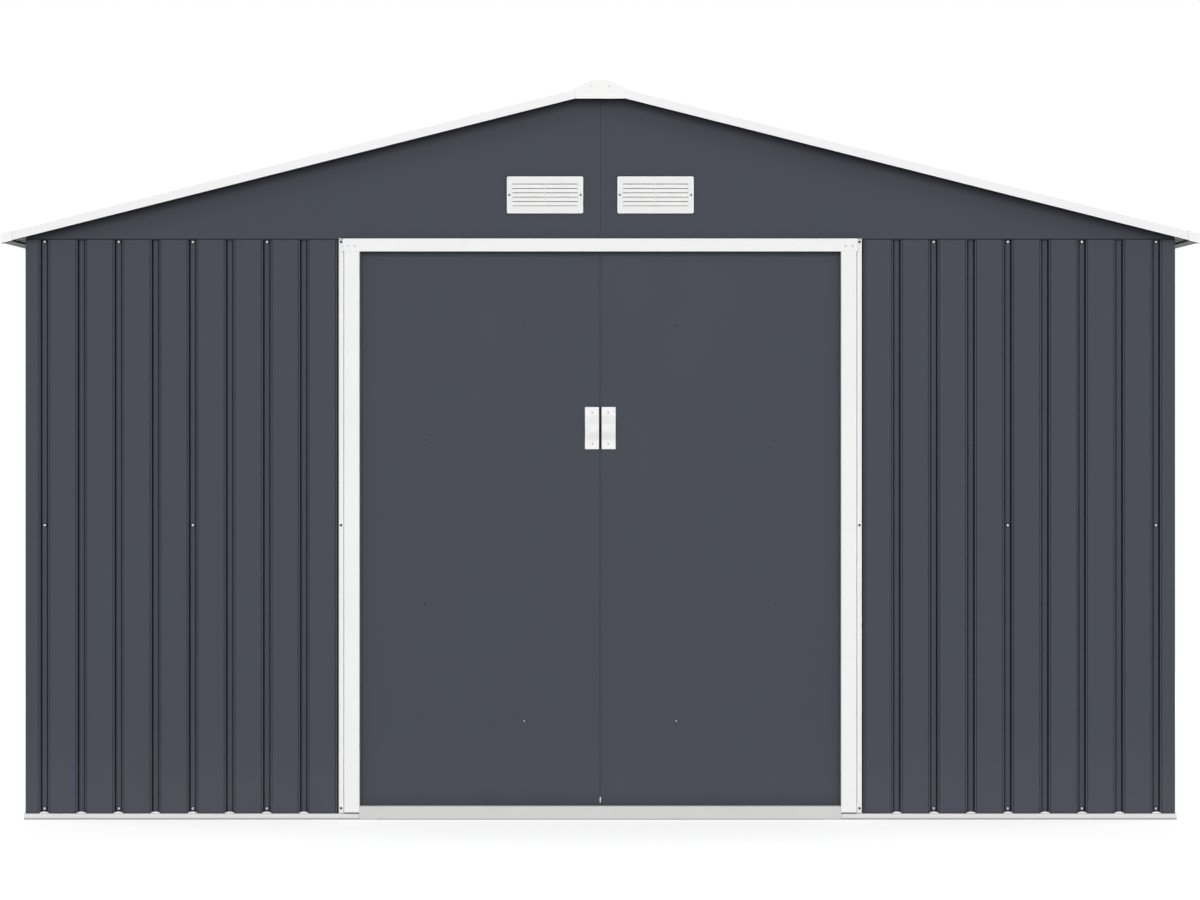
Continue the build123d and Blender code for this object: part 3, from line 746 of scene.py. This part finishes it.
def makeRoof():
    low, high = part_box("roof_sheets_right")
    width, fall = high.x - low.x, high.z - low.z
    depth = roofSheet["metal"] + abs(roofSheet["floor"] - roofSheet["face"]) + roofSheet["lapLift"]
    slope = math.atan2(fall - depth, width)
    for attempt in range(roofSheet["rounds"]):
        slope = math.atan2(fall - depth * math.cos(slope), width - depth * math.sin(slope))
    length = (width - depth * math.sin(slope)) / math.cos(slope)
    down = Vector((math.cos(slope), 0, -math.sin(slope)))
    outward = Vector((math.sin(slope), 0, math.cos(slope)))
    place = Matrix((Vector((0, 1, 0)), -outward, down)).transposed().to_4x4()
    place.translation = (low.x, 0, high.z - depth * math.cos(slope))
    first = -roofSheet["pitches"] * roofSheet["pitch"] / 2
    for name, flip, node in (
        ("roofSheetsRight", Matrix(), "roof_sheets_right"),
        ("roofSheetsLeft", mirrorX, "roof_sheets_left"),
    ):
        work = rowOfSheets(roofSheet, first, roofSheet["pitches"], 0, length, (-high.y, high.y))
        placeAll(work, flip @ place)
        finishSheets(name, work, roofSheet, node)
    return slope


roofSlope = makeRoof()
print("roof sheets made, slope", round(math.degrees(roofSlope), 2))


# Doors

doorSkin = {"metal": 0.0008, "lip": 0.014, "bend": 0.0009, "bendSteps": 3, "sharpAngle": 45}


def makeDoorSkin(side):
    # A pan pressed from one sheet: a flat front, folded edges and a lip behind
    node = side + "_door_panel"
    work = boxBetween(*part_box(node))
    rear = [face for face in work.faces if face.normal.y > squareOn]
    bmesh.ops.inset_region(work, faces=rear, thickness=doorSkin["lip"], depth=0.0, use_even_offset=True)
    bmesh.ops.delete(work, geom=rear, context="FACES")
    roundEdges(work, sharpEdges(work, doorSkin["sharpAngle"]), doorSkin["bend"], doorSkin["bendSteps"])
    coats = ("doorPaint", "backingCoat")
    piece = finishPiece(side + "DoorSkin", work, coats, side + "_door", (node,))
    giveThickness(piece, doorSkin["metal"], 1)


for doorSide in ("left", "right"):
    makeDoorSkin(doorSide)
print("door skins made")


# CAD pieces with their edges eased: width and steps of the round, and the kind of inside

easedNodes = {
    "door_jambs": (0.0004, 2, "open"),
    "door_header": (0.0004, 2, "open"),
    "door_sill": (0.0004, 2, "open"),
    "base_rails_front": (0.0005, 2, "open"),
    "base_rail_back": (0.0005, 2, "open"),
    "base_rail_left": (0.0005, 2, "open"),
    "base_rail_right": (0.0005, 2, "open"),
    "front_gable": (0.00025, 1, "gable"),
    "back_gable": (0.00025, 1, "gable"),
    "ridge_cap": (0.0004, 2, "shadowCoated"),
    "ridge_end_caps": (0.0004, 2, "shadowCoated"),
    "front_rake_trims": (0.0004, 2, "shadowCoated"),
    "back_rake_trims": (0.0004, 2, "shadowCoated"),
    "eave_trims": (0.0004, 2, "lined"),
    "eave_corner_caps": (0.0004, 2, "shadowCoated"),
}
easing = {
    "merge": 1e-5,  # distance at which vertices are one
    "flatAngle": 0.5,  # in degrees, up to which faces are joined
    "sharpAngle": 12,  # in degrees, from which edges are rounded
    "gableFace": 0.0003,  # slack for the painted face of a gable
}


def camelName(node):
    words = node.split("_")
    return words[0] + "".join(word.capitalize() for word in words[1:])


def markInsideShadeAndBacking(work, slope):
    # The faces of a roof trim that look down or in at the shed take the second coat: a near-black painted
    # shadow on most trims, the grey backing coat on the eave trims
    for face in work.faces:
        middle, normal = face.calc_center_median(), face.normal
        side = 1 if middle.x > 0 else -1
        end = 1 if middle.y > 0 else -1
        under = normal.dot(Vector((-side * math.sin(slope), 0, -math.cos(slope))))
        if max(under, -normal.z, -side * normal.x, -end * normal.y) > squareOn:
            face.material_index = 1


def easedCopy(node, ease, steps, inside):
    work = bmesh.new()
    work.from_mesh(frame["nodes"][node].data)
    flat = math.radians(easing["flatAngle"])
    bmesh.ops.remove_doubles(work, verts=work.verts, dist=easing["merge"])
    bmesh.ops.dissolve_limit(work, angle_limit=flat, verts=work.verts, edges=work.edges)
    bmesh.ops.recalc_face_normals(work, faces=work.faces)
    roundEdges(work, sharpEdges(work, easing["sharpAngle"]), ease, steps)
    coats = [slotFinish[nodeSlots[node]]]
    if inside in ("shadowCoated", "lined"):
        markInsideShadeAndBacking(work, roofSlope)
        coats.append("paintedShadowCoat" if inside == "shadowCoated" else "backingCoat")
    if inside == "gable":
        coats = ["gablePaint", "backingCoat"]
        for face in work.faces:
            behind = abs(abs(face.calc_center_median().y) - halfDepth)
            face.material_index = 0 if behind < easing["gableFace"] else 1
    finishPiece(camelName(node) + "Eased", work, coats, "shed", (node,))


for easedNode, easedLook in easedNodes.items():
    easedCopy(easedNode, *easedLook)
print("eased copies made:", len(easedNodes))


# Near-black strips in the joint between the gables and the walls below them, which paint the shadow line
# there

gableShadowStrip = {
    "low": -0.0020,  # from the top of the wall
    "high": 0.0011,
    "thick": 0.0007,
    "proud": 0.0003,
    "fromCorner": 0.0012,
    "toJamb": 0.7415,
    "ease": 0.00015,
}


def makeGableShadowStrips():
    work = bmesh.new()
    near = -halfDepth - gableShadowStrip["proud"]
    low = (gableShadowStrip["fromCorner"] - halfWidth, near, wallTop + gableShadowStrip["low"])
    for side in (Matrix(), mirrorX):
        for flip, end in ((Matrix(), gableShadowStrip["toJamb"]), (mirrorY, 0.0)):
            high = (-end, near + gableShadowStrip["thick"], wallTop + gableShadowStrip["high"])
            addBar(work, low, high, gableShadowStrip["ease"], 1, side @ flip)
    finishPiece("gableSeals", work, ("paintedShadowCoat",), "shed")


# Louvred vents

ventDesign = {
    "spanToHeight": 216.0 / 104.5,
    "rimWidth": 0.0036,
    "rimProud": 0.0008,
    "corner": 0.0042,
    "cornerSteps": 5,
    "plateDepth": 0.0048,  # from the front of the rim to the gable
    "plateEase": 0.00035,
    "sharpAngle": 50,
    "leastFlat": 0.0005,  # area of the faces that the window cuts, in square metres
    "windowHalf": 0.092,
    "windowTop": 0.0317,  # above the middle of the vent
    "slats": 5,
    "pitch": 0.01235,
    "slatMetal": 0.0012,
    "slatTuck": 0.0004,  # of the slats' ends in the sides of the window
    "lipDepth": 0.0004,  # of a slat's lower lip behind the front of the rim
    "lean": 0.0036,
    "slot": 0.0015,  # open height between a lip and the next slat
    "stayHalf": 0.0013,
    "stayBehind": 0.0004,  # the lips
    "stayTuck": 0.001,
    "spigotDepth": 0.0128,
    "spigotInset": 0.0083,
    "spigotMetal": 0.001,
    "spigotTuck": 0.0005,
    "spigotEase": 0.0003,
    "ease": 0.0005,
}


def ventPlate(halfSpan, halfHeight):
    # Block with a raised rim, then a window cut through it
    design = ventDesign
    half, top = design["windowHalf"], design["windowTop"]
    foot = top - design["slats"] * design["pitch"] - design["slot"]
    rim = {"thickness": design["rimWidth"], "depth": -design["rimProud"]}
    work = boxBetween((-halfSpan, 0, -halfHeight), (halfSpan, design["plateDepth"], halfHeight))
    corners = [edge for edge in work.edges if edge.verts[0].co.y != edge.verts[1].co.y]
    roundEdges(work, corners, design["corner"], design["cornerSteps"])
    front = [face for face in work.faces if face.normal.y < -squareOn]
    bmesh.ops.inset_region(work, faces=front, use_even_offset=True, **rim)
    for face in front:
        face.material_index = 1
    across, up = Vector((1, 0, 0)), Vector((0, 0, 1))
    for distance, normal in ((half, across), (-half, across), (top, up), (foot, up)):
        geometry = set()
        for face in work.faces:
            if abs(face.normal.y) > squareOn and face.calc_area() > design["leastFlat"]:
                geometry.update((face, *face.edges, *face.verts))
        cut = {"plane_co": distance * normal, "plane_no": normal}
        bmesh.ops.bisect_plane(work, geom=list(geometry), dist=cutSlack, **cut)
    pane = []
    for face in work.faces:
        middle = face.calc_center_median()
        if abs(face.normal.y) > squareOn and abs(middle.x) < half and foot < middle.z < top:
            pane.append(face)
    hole = list({edge for face in pane for edge in face.edges})
    bmesh.ops.delete(work, geom=pane, context="FACES_ONLY")
    bmesh.ops.bridge_loops(work, edges=hole)
    bmesh.ops.recalc_face_normals(work, faces=work.faces)
    roundEdges(work, sharpEdges(work, design["sharpAngle"]), design["plateEase"], 2)
    return work


def ventSlats(work):
    design = ventDesign
    angle = math.atan2(design["lean"], design["pitch"])
    height = (design["pitch"] - design["slot"]) / math.cos(angle)
    half = design["windowHalf"] + design["slatTuck"]
    for index in range(design["slats"]):
        lip = design["windowTop"] - (index + 1) * design["pitch"]
        place = move(0, design["lipDepth"], lip) @ turn(-math.degrees(angle), "X")
        addBar(work, (-half, 0, 0), (half, design["slatMetal"], height), design["ease"], 2, place)
    foot = design["windowTop"] - design["slats"] * design["pitch"]
    low = (-design["stayHalf"], design["lipDepth"] + design["stayBehind"], foot)
    high = (design["stayHalf"], design["spigotDepth"], design["windowTop"] + design["stayTuck"])
    addBar(work, low, high, design["ease"], 2)


def ventSpigot(work, halfSpan, halfHeight):
    # Collar behind the plate, which passes through the gable
    design = ventDesign
    across, up = halfSpan - design["spigotInset"], halfHeight - design["spigotInset"]
    near, far = design["plateDepth"] - design["spigotTuck"], design["spigotDepth"]
    metal = design["spigotMetal"]
    for low, high in (
        ((-across, near, up - metal), (across, far, up)),
        ((-across, near, -up), (across, far, metal - up)),
        ((-across, near, metal - up), (metal - across, far, up - metal)),
        ((across - metal, near, metal - up), (across, far, up - metal)),
    ):
        addBar(work, low, high, design["spigotEase"], 1)


def makeVents():
    low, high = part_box("front_vents")
    halfHeight = (high.z - low.z) / 2
    halfSpan = halfHeight * ventDesign["spanToHeight"]
    spot = move(low.x + halfSpan, low.y, (low.z + high.z) / 2)
    for node, flip in (("front_vents", Matrix()), ("back_vents", mirrorY)):
        work = bmesh.new()
        for side in (Matrix(), mirrorX):
            vent = ventPlate(halfSpan, halfHeight)
            ventSlats(vent)
            ventSpigot(vent, halfSpan, halfHeight)
            placeAll(vent, flip @ side @ spot)
            addMesh(work, vent)
        coats = ("mouldedPlastic", "ventPlastic")
        finishPiece(camelName(node) + "Moulded", work, coats, "shed", (node,))


makeGableShadowStrips()
makeVents()
print("vents made")


# Handles

handleDesign = {
    "columns": 12,
    "rows": 48,
    "shell": 0.0035,
    "reach": 0.018,
    "padLength": 0.018,
    "ramp": 0.037,
    "fallAway": 0.0060,  # of the outer edge behind the crest
    "fallStart": 0.15,  # of the half width, past the middle
    "fallWidth": 1.3,
    "edge": 0.0011,
    "edgeSteps": 3,
    "edgeAngle": 50,
}


def softStep(value):
    value = max(0.0, min(1.0, value))
    return value * value * (3.0 - 2.0 * value)


def makeHandle(side, sign):
    # A bowed strip between two pads; its outer half falls away from the crest
    node = side + "_door_handle"
    low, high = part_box(node)
    design = handleDesign
    middle = (low + high) / 2
    halfSpan, halfLength = (high.x - low.x) / 2, (high.z - low.z) / 2
    work = bmesh.new()
    bmesh.ops.create_grid(work, x_segments=design["columns"], y_segments=design["rows"], size=1.0)
    for vert in work.verts:
        across, along = vert.co.x, vert.co.y * halfLength
        rise = softStep((halfLength - design["padLength"] - abs(along)) / design["ramp"])
        outward = softStep((design["fallStart"] - across * sign) / design["fallWidth"])
        fall = design["fallAway"] * outward * rise
        level = design["shell"] + (design["reach"] - design["shell"]) * rise - fall
        vert.co = (across * halfSpan, -level, along)
    bmesh.ops.recalc_face_normals(work, faces=work.faces)
    if sum((face.normal for face in work.faces), Vector()).y > 0:
        bmesh.ops.reverse_faces(work, faces=work.faces)
    for face in work.faces:
        face.smooth = True
    bmesh.ops.translate(work, vec=(middle.x, high.y, middle.z), verts=work.verts)
    name, coats = side + "DoorHandleBow", ("mouldedPlastic",)
    piece = finishPiece(name, work, coats, side + "_door", (node,))
    giveThickness(piece, design["shell"], 0)
    rounded = piece.modifiers.new("edges", "BEVEL")
    rounded.width = design["edge"]
    rounded.segments = design["edgeSteps"]
    rounded.limit_method = "ANGLE"
    rounded.angle_limit = math.radians(design["edgeAngle"])
    rounded.harden_normals = True


makeHandle("left", 1)
makeHandle("right", -1)
print("handles made")


# Screws

screwDesign = {
    "sides": 12,
    "washer": ((0.0052, 0.0), (0.0052, 0.000605), (0.004472, 0.0011)),  # radius and height of rings
    "head": ((0.0031, 0.00099), (0.0031, 0.002045), (0.001922, 0.0032)),
    "recessArm": 0.0014,
    "recessHalf": 0.00036,
    "recessDepth": 0.0009,
}


def ringOf(work, radius, height):
    sides = screwDesign["sides"]
    made = bmesh.ops.create_circle(work, segments=sides, radius=radius, cap_ends=False)["verts"]
    bmesh.ops.translate(work, vec=(0, 0, height), verts=made)
    return edgesAmong(work, made)


def stackRings(work, rings):
    # Rings from the foot up, joined into one wall
    loops = [ringOf(work, radius, height) for radius, height in rings]
    faces = []
    for lower, upper in zip(loops, loops[1:]):
        faces += bmesh.ops.bridge_loops(work, edges=lower + upper)["faces"]
    return loops[0], loops[-1], faces


def sinkRecess(work, crown, top):
    # A cross sunk into the head, inside the ring at its top
    arm, half = screwDesign["recessArm"], screwDesign["recessHalf"]
    outline = []
    for quarter in range(4):
        for x, y in ((arm, -half), (arm, half), (half, half)):
            outline.append(turn(90 * quarter) @ Vector((x, y, top)))
    cross = [work.verts.new(point) for point in outline]
    edge = [work.edges.new(pair) for pair in zip(cross, cross[1:] + cross[:1])]
    bmesh.ops.bridge_loops(work, edges=crown + edge)
    below = vertsOf(bmesh.ops.extrude_edge_only(work, edges=edge)["geom"])
    bmesh.ops.translate(work, vec=(0, 0, -screwDesign["recessDepth"]), verts=below)
    bmesh.ops.contextual_create(work, geom=edgesAmong(work, below))


def makeScrew(recessed):
    # Head up along z with its seat at zero; slot 0 is the head and slot 1 the washer
    work = bmesh.new()
    seat, shoulder, washer = stackRings(work, screwDesign["washer"])
    neck, crown, dome = stackRings(work, screwDesign["head"])
    if recessed:
        sinkRecess(work, crown, screwDesign["head"][-1][1])
    else:
        bmesh.ops.contextual_create(work, geom=crown)
    bmesh.ops.contextual_create(work, geom=seat)
    for face in washer:
        face.material_index = 1
    bmesh.ops.recalc_face_normals(work, faces=work.faces)
    return meshOf(work, "screwShape")


plainScrew = makeScrew(False)
crossScrew = makeScrew(True)


def setScrews(name, shape, places, finishNames, body, size):
    # Each place is a point on the surface and the direction that the head faces
    work = bmesh.new()
    for point, facing in places:
        aim = Vector(facing).normalized().to_track_quat("Z", "X").to_matrix().to_4x4()
        stamp(work, shape, move(*point) @ aim @ Matrix.Scale(size, 4))
    finishPiece(name, work, finishNames, body)


wallScrews = {
    "top": 1.636,
    "middle": 0.833,
    "foot": 0.030,
    "every": 2,  # ribs from one screw of a row to the next
    "frontSize": 1.12,
}


def ribScrews(row):
    # Heads in the bottom of the ribs: every second rib at top and foot, laps at the middle too
    points = []
    facing = row["place"].to_3x3() @ Vector((0, -1, 0))
    lapped = {*range(0, row["pitches"] + 1, wallSheet["sheetPitches"]), row["pitches"]}
    for index in range(row["shown"]):
        rib = row["start"] + index * wallSheet["pitch"]
        level = wallSheet["floor"] - (wallSheet["lapLift"] if index in lapped else 0)
        heights = []
        if index % wallScrews["every"] == 0 or index == row["pitches"]:
            heights += [wallScrews["top"], wallScrews["foot"]]
        if index in lapped:
            heights.append(wallScrews["middle"])
        points += [(row["place"] @ Vector((rib, level, height)), facing) for height in heights]
    return points


def makeWallScrews():
    for name, rows, shape, size in (
        ("frontWallScrews", ("frontSheetsLeft", "frontSheetsRight"), crossScrew, wallScrews["frontSize"]),
        ("backWallScrews", ("backSheets",), plainScrew, 1.0),
        ("sideWallScrews", ("leftSheets", "rightSheets"), plainScrew, 1.0),
    ):
        places = [place for row in rows for place in ribScrews(wallRows[row])]
        setScrews(name, shape, places, ("zincScrew", "darkRubberAndShadow"), "shed", size)


makeWallScrews()
print("wall screws set")


# Screws in the trims, doors and vents: places on the left half, which the right half repeats

jambFlange = 0.0108 - halfDepth  # front of the part of the jamb that lies on the wall
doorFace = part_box("left_door_panel")[0].y
trimScrews = {
    "jambScrews": {
        "shape": crossScrew,
        "finish": ("darkScrew", "whitePaint"),
        "slot": "white_trim",
        "size": 0.8,
        "depth": jambFlange,
        "places": ((-0.7348, 1.636), (-0.7348, 0.833), (-0.7348, 0.0305)),
    },
    "headerScrews": {
        "shape": crossScrew,
        "finish": ("whitePaint", "whitePaint"),
        "slot": "white_trim",
        "size": 0.5,
        "depth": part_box("door_header")[0].y,
        "places": ((-0.714, 1.6238), (-0.6945, 1.6238)),
    },
    "ventScrews": {
        "shape": crossScrew,
        "finish": ("darkScrew", "darkScrew"),
        "slot": "white_plastic",
        "size": 0.55,
        "depth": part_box("front_vents")[0].y + ventDesign["rimProud"],
        "places": ((-0.2575, 1.7685), (-0.0555, 1.7685)),
    },
    "ridgeRivets": {
        "shape": plainScrew,
        "finish": ("mouldedPlastic", "mouldedPlastic"),
        "slot": "white_plastic",
        "size": 0.4,
        "depth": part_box("ridge_end_caps")[0].y,
        "places": ((-0.0245, 2.0705),),
    },
}
doorScrews = {
    "DoorDarkScrews": {
        "shape": plainScrew,
        "finish": ("doorPaint", "doorPaint"),
        "slot": "dark_sheet",
        "size": 0.5,
        "depth": doorFace,
        "places": ((-0.216, 1.400), (-0.499, 1.074), (-0.499, 0.607)),
    },
    "DoorWhiteScrews": {
        "shape": crossScrew,
        "finish": ("whitePaint", "darkRubberAndShadow"),
        "slot": "white_trim",
        "size": 0.65,
        "depth": doorFace,
        "places": ((-0.216, 0.276),),
    },
    "HandleScrews": {
        "shape": crossScrew,
        "finish": ("steelScrew", "mouldedPlastic"),
        "slot": "white_plastic",
        "size": 0.6,
        "depth": doorFace - handleDesign["shell"],
        "places": ((-0.0223, 1.0637), (-0.0223, 1.1519)),
    },
}


def setFrontScrews(name, row, signs, body):
    facing = (0, -1, 0)
    places = [((sign * x, row["depth"], z), facing) for sign in signs for x, z in row["places"]]
    setScrews(name, row["shape"], places, row["finish"], body, row["size"])


def makeTrimScrews():
    for name, row in trimScrews.items():
        setFrontScrews(name, row, (1, -1), "shed")
    for side, sign in (("left", 1), ("right", -1)):
        for name, row in doorScrews.items():
            setFrontScrews(side + name, row, (sign,), side + "_door")


makeTrimScrews()
print("trim screws set")


# The gap between the doors: its cover, a pale stop at the foot and a near-black strip at the handles,
# which paints the shade between them

doorSeam = {
    "fromDoor": 0.00005,
    "toDoor": 0.0003,
    "setBack": 0.00005,
    "depth": 0.012,
    "fromEnds": 0.001,
    "stopLow": 0.0440,
    "stopHigh": 0.0592,
    "stopHalf": 0.0015,
    "stopProud": 0.0006,
    "handleShadeProud": 0.0004,
    "round": 0.0003,
}


def makeDoorSeam():
    low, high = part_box("left_door_panel")
    foot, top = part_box("left_door_handle")
    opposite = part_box("right_door_panel")[0].x
    seam = doorSeam
    near, far = high.x + seam["fromDoor"], opposite - seam["toDoor"]
    middle, half = (high.x + opposite) / 2, seam["stopHalf"]
    front = low.y + seam["setBack"]
    back, inside = front + seam["depth"], front + seam["depth"] / 2
    cover = (near, front, low.z + seam["fromEnds"]), (far, back, high.z - seam["fromEnds"])
    stopFoot = (middle - half, low.y - seam["stopProud"], seam["stopLow"])
    stop = stopFoot, (middle + half, inside, seam["stopHigh"])
    handleShade = (near, low.y - seam["handleShadeProud"], foot.z), (far, inside, top.z)
    for name, ends, finish, slotName in (
        ("doorSeamCover", cover, "doorPaint", "dark_sheet"),
        ("doorSeamStop", stop, "mouldedPlastic", "white_plastic"),
        ("doorSeamHandleShade", handleShade, "paintedShadowCoat", "dark_sheet"),
    ):
        work = bmesh.new()
        addBar(work, *ends, seam["round"], 2)
        finishPiece(name, work, (finish,), "left_door")


makeDoorSeam()


# Dark pads under the jambs and grey strips under the rails and the sill, which paint the contact shadow
# at their feet: bars on the left, repeated on the right

footStrip = {"proud": 0.0004, "depth": 0.02, "round": 0.0004, "finish": "footShadowGrey", "slot": "pale_rail"}
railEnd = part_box("base_rail_right")[1].x + footStrip["proud"]
railLevels = (0.0001, 0.0041)  # foot and top of the grey shadow strip under the rails
footStrips = {
    "jambFeet": {
        "under": "door_jambs",
        "levels": (0.0176, 0.0203),
        "ends": (0.683, 0.7251),
        "proud": 0.0003,
        "finish": "darkRubberAndShadow",
        "slot": "white_trim",
    },
    "railFootFront": {"under": "base_rails_front", "levels": railLevels, "ends": (0.631, railEnd)},
    "sillFoot": {"under": "door_sill", "levels": (0.0001, 0.0022), "ends": (0.0, 0.631)},
    "railFootBack": {"under": "base_rail_back", "levels": railLevels, "ends": (0.0, railEnd)},
}


def footPiece(name, low, high, strip, flip):
    work = bmesh.new()
    for side in (Matrix(), mirrorX):
        addBar(work, low, high, strip["round"], 2, flip @ side)
    finishPiece(name, work, (strip["finish"],), "shed")


def makeFootStrips():
    for name, changes in footStrips.items():
        strip = {**footStrip, **changes}
        low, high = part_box(strip["under"])
        near = min(low.y, -high.y) - strip["proud"]
        inner, outer = strip["ends"]
        foot, top = strip["levels"]
        flip = mirrorY if low.y > 0 else Matrix()
        ends = (-outer, near, foot), (-inner, near + strip["depth"], top)
        footPiece(name, *ends, strip, flip)
    low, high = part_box("base_rail_right")
    outside, depth = high.x + footStrip["proud"], footStrip["depth"]
    foot, top = railLevels
    ends = (outside - depth, low.y + depth, foot), (outside, high.y - depth, top)
    footPiece("railFootSides", *ends, footStrip, Matrix())


makeFootStrips()


# Plugs in the feet of the ribs

ribPlug = {
    "radius": 0.0132,
    "height": 0.0048,
    "front": 0.0010,
    "flangeBack": 0.0022,
    "back": 0.0112,
    "neck": 0.6,  # width of the part inside the groove, of the whole
    "segments": 20,
}


def plugShape():
    # Half a flattened disc stood on the ledge, with its flat edge down
    size = ribPlug
    front, middle, back = size["front"], size["flangeBack"], size["back"]
    work = bmesh.new()
    bmesh.ops.create_circle(work, segments=size["segments"], radius=size["radius"], cap_ends=True)
    bmesh.ops.scale(work, vec=(1, size["height"] / size["radius"], 1), verts=work.verts)
    geometry = work.verts[:] + work.edges[:] + work.faces[:]
    cut = {"plane_co": (0, 0, 0), "plane_no": (0, -1, 0), "clear_outer": True}
    bmesh.ops.bisect_plane(work, geom=geometry, dist=cutSlack, **cut)
    for start, end, width in ((front, middle, 1.0), (middle, middle, size["neck"]), (middle, back, 1.0)):
        rear = sorted(work.faces, key=lambda face: face.calc_center_median().z)[:1]
        moved = vertsOf(bmesh.ops.extrude_face_region(work, geom=rear)["geom"])
        bmesh.ops.scale(work, vec=(width, width, 1), verts=moved)
        bmesh.ops.translate(work, vec=(0, 0, start - end), verts=moved)
    bmesh.ops.transform(work, matrix=move(0, front, 0) @ turn(90, "X"), verts=work.verts)
    bmesh.ops.recalc_face_normals(work, faces=work.faces)
    return meshOf(work, "plugShape")


def makeRibPlugs():
    shape = plugShape()
    work = bmesh.new()
    for row in wallRows.values():
        for index in range(row["shown"]):
            rib = row["start"] + index * wallSheet["pitch"]
            stamp(work, shape, row["place"] @ move(rib, 0, wallFoot))
    bmesh.ops.recalc_face_normals(work, faces=work.faces)
    finishPiece("ribPlugs", work, ("mouldedPlastic",), "shed")


makeRibPlugs()
print("small pieces made")


# Floor, world and lamps

studio = {
    "floorHalf": 60.0,
    "floorLevel": -0.0005,
    "floorShade": 0.5,  # of the light that falls on the floor, as the camera sees it
    "floorGlow": 0.74,
    "floorBounce": 0.5,
    "nearGlow": 0.27,  # light sent up by the floor beside the walls
    "nearGlowEnd": 2.0,  # where it ends, in half widths and half depths of the shed
    "floorFade": (2.6, 6.0),  # distances over which the floor fades to plain white
    "fill": 0.25,
    "backdrop": 1.0,
}
softboxes = {
    "frontSoftbox": {"place": (0, -32, 6.5), "aim": (0, -1.8, 0.6), "size": (15, 11), "power": 6350},
    "backSoftbox": {"place": (0, 30, 9.5), "aim": (0, 1.8, 1.0), "size": (15, 15), "power": 4350},
    "leftSoftbox": {"place": (-26, 7, 8), "aim": (-1.6, 0, 1.0), "size": (12, 12), "power": 3650},
    "rightSoftbox": {"place": (26, 7, 8), "aim": (1.6, 0, 1.0), "size": (12, 12), "power": 3650},
    "topSoftbox": {"place": (0, 5, 16), "aim": (0, 1.0, 1.6), "size": (8, 8), "power": 600},
}


def seenRays(tree):
    # 1 for rays that show the background: camera, glossy and transmission rays
    path = addNode(tree, "LightPath").outputs
    shown = mathNode(tree, "MAXIMUM", path["Is Camera Ray"], path["Is Glossy Ray"])
    return mathNode(tree, "MAXIMUM", shown, path["Is Transmission Ray"])


def blendShaders(tree, share, first, second):
    return addNode(tree, "MixShader", {"Fac": share, 1: first, 2: second}).outputs[0]


def greyWithGlow(tree, shade, glow):
    grey = addNode(tree, "BsdfDiffuse", {"Color": (shade, shade, shade, 1)})
    light = addNode(tree, "Emission", {"Strength": glow})
    return addNode(tree, "AddShader", {0: grey.outputs[0], 1: light.outputs[0]}).outputs[0]


def makeWorld():
    world = bpy.data.worlds.new("studio")
    bpy.context.scene.world = world
    world.use_nodes = True
    tree = world.node_tree
    tree.nodes.clear()
    white = [
        addNode(tree, "Background", {"Color": (1, 1, 1, 1), "Strength": studio[key]}).outputs[0]
        for key in ("fill", "backdrop")
    ]
    addNode(tree, "OutputWorld", {"Surface": blendShaders(tree, seenRays(tree), *white)})


def floorShader(tree):
    # White to the camera, with the shadows kept near the shed; grey under the shed itself
    place = objectPlace(tree)
    reach = addNode(tree, "VectorMath", {0: place}, operation="LENGTH").outputs["Value"]
    fade = rangeNode(tree, reach, studio["floorFade"], (0.0, 1.0), "SMOOTHSTEP")
    white = addNode(tree, "Emission", {"Strength": studio["backdrop"]}).outputs[0]
    lit = greyWithGlow(tree, studio["floorShade"], studio["floorGlow"])
    around = blendShaders(tree, fade, lit, white)
    sizes = vectorNode(tree, "DIVIDE", {0: place, 1: (halfWidth, halfDepth, 1.0)})
    sides = addNode(tree, "SeparateXYZ", {0: vectorNode(tree, "ABSOLUTE", {0: sizes})}).outputs
    furthest = mathNode(tree, "MAXIMUM", sides["X"], sides["Y"])
    outside = mathNode(tree, "GREATER_THAN", furthest, 1.0)
    bounce = (studio["floorBounce"],) * 3 + (1,)
    indoors = addNode(tree, "BsdfDiffuse", {"Color": bounce}).outputs[0]
    seen = blendShaders(tree, outside, indoors, around)
    ends = (1.0, studio["nearGlowEnd"]), (studio["nearGlow"], 0.0)
    near = mathNode(tree, "MULTIPLY", rangeNode(tree, furthest, *ends, "SMOOTHSTEP"), outside)
    reflected = greyWithGlow(tree, studio["floorBounce"], near)
    return blendShaders(tree, seenRays(tree), reflected, seen)


def makeFloor():
    work = bmesh.new()
    bmesh.ops.create_grid(work, x_segments=1, y_segments=1, size=studio["floorHalf"])
    mesh = meshOf(work, "studioFloor")
    floor = bpy.data.objects.new("studioFloor", mesh)
    floor.location = (0, 0, studio["floorLevel"])
    bpy.context.scene.collection.objects.link(floor)
    material, tree = blankMaterial("studioFloor")[:2]
    tree.nodes.clear()
    addNode(tree, "OutputMaterial", {"Surface": floorShader(tree)})
    mesh.materials.append(material)


def makeSoftbox(name, box):
    lamp = bpy.data.lights.new(name, "AREA")
    lamp.shape = "RECTANGLE"
    lamp.size, lamp.size_y = box["size"]
    lamp.energy = box["power"]
    light = bpy.data.objects.new(name, lamp)
    light.location = box["place"]
    aim = Vector(box["aim"]) - Vector(box["place"])
    light.rotation_euler = aim.to_track_quat("-Z", "Y").to_euler()
    bpy.context.scene.collection.objects.link(light)


makeWorld()
makeFloor()
for boxName, softbox in softboxes.items():
    makeSoftbox(boxName, softbox)
bpy.context.scene.view_settings.view_transform = "Standard"
print("studio ready")
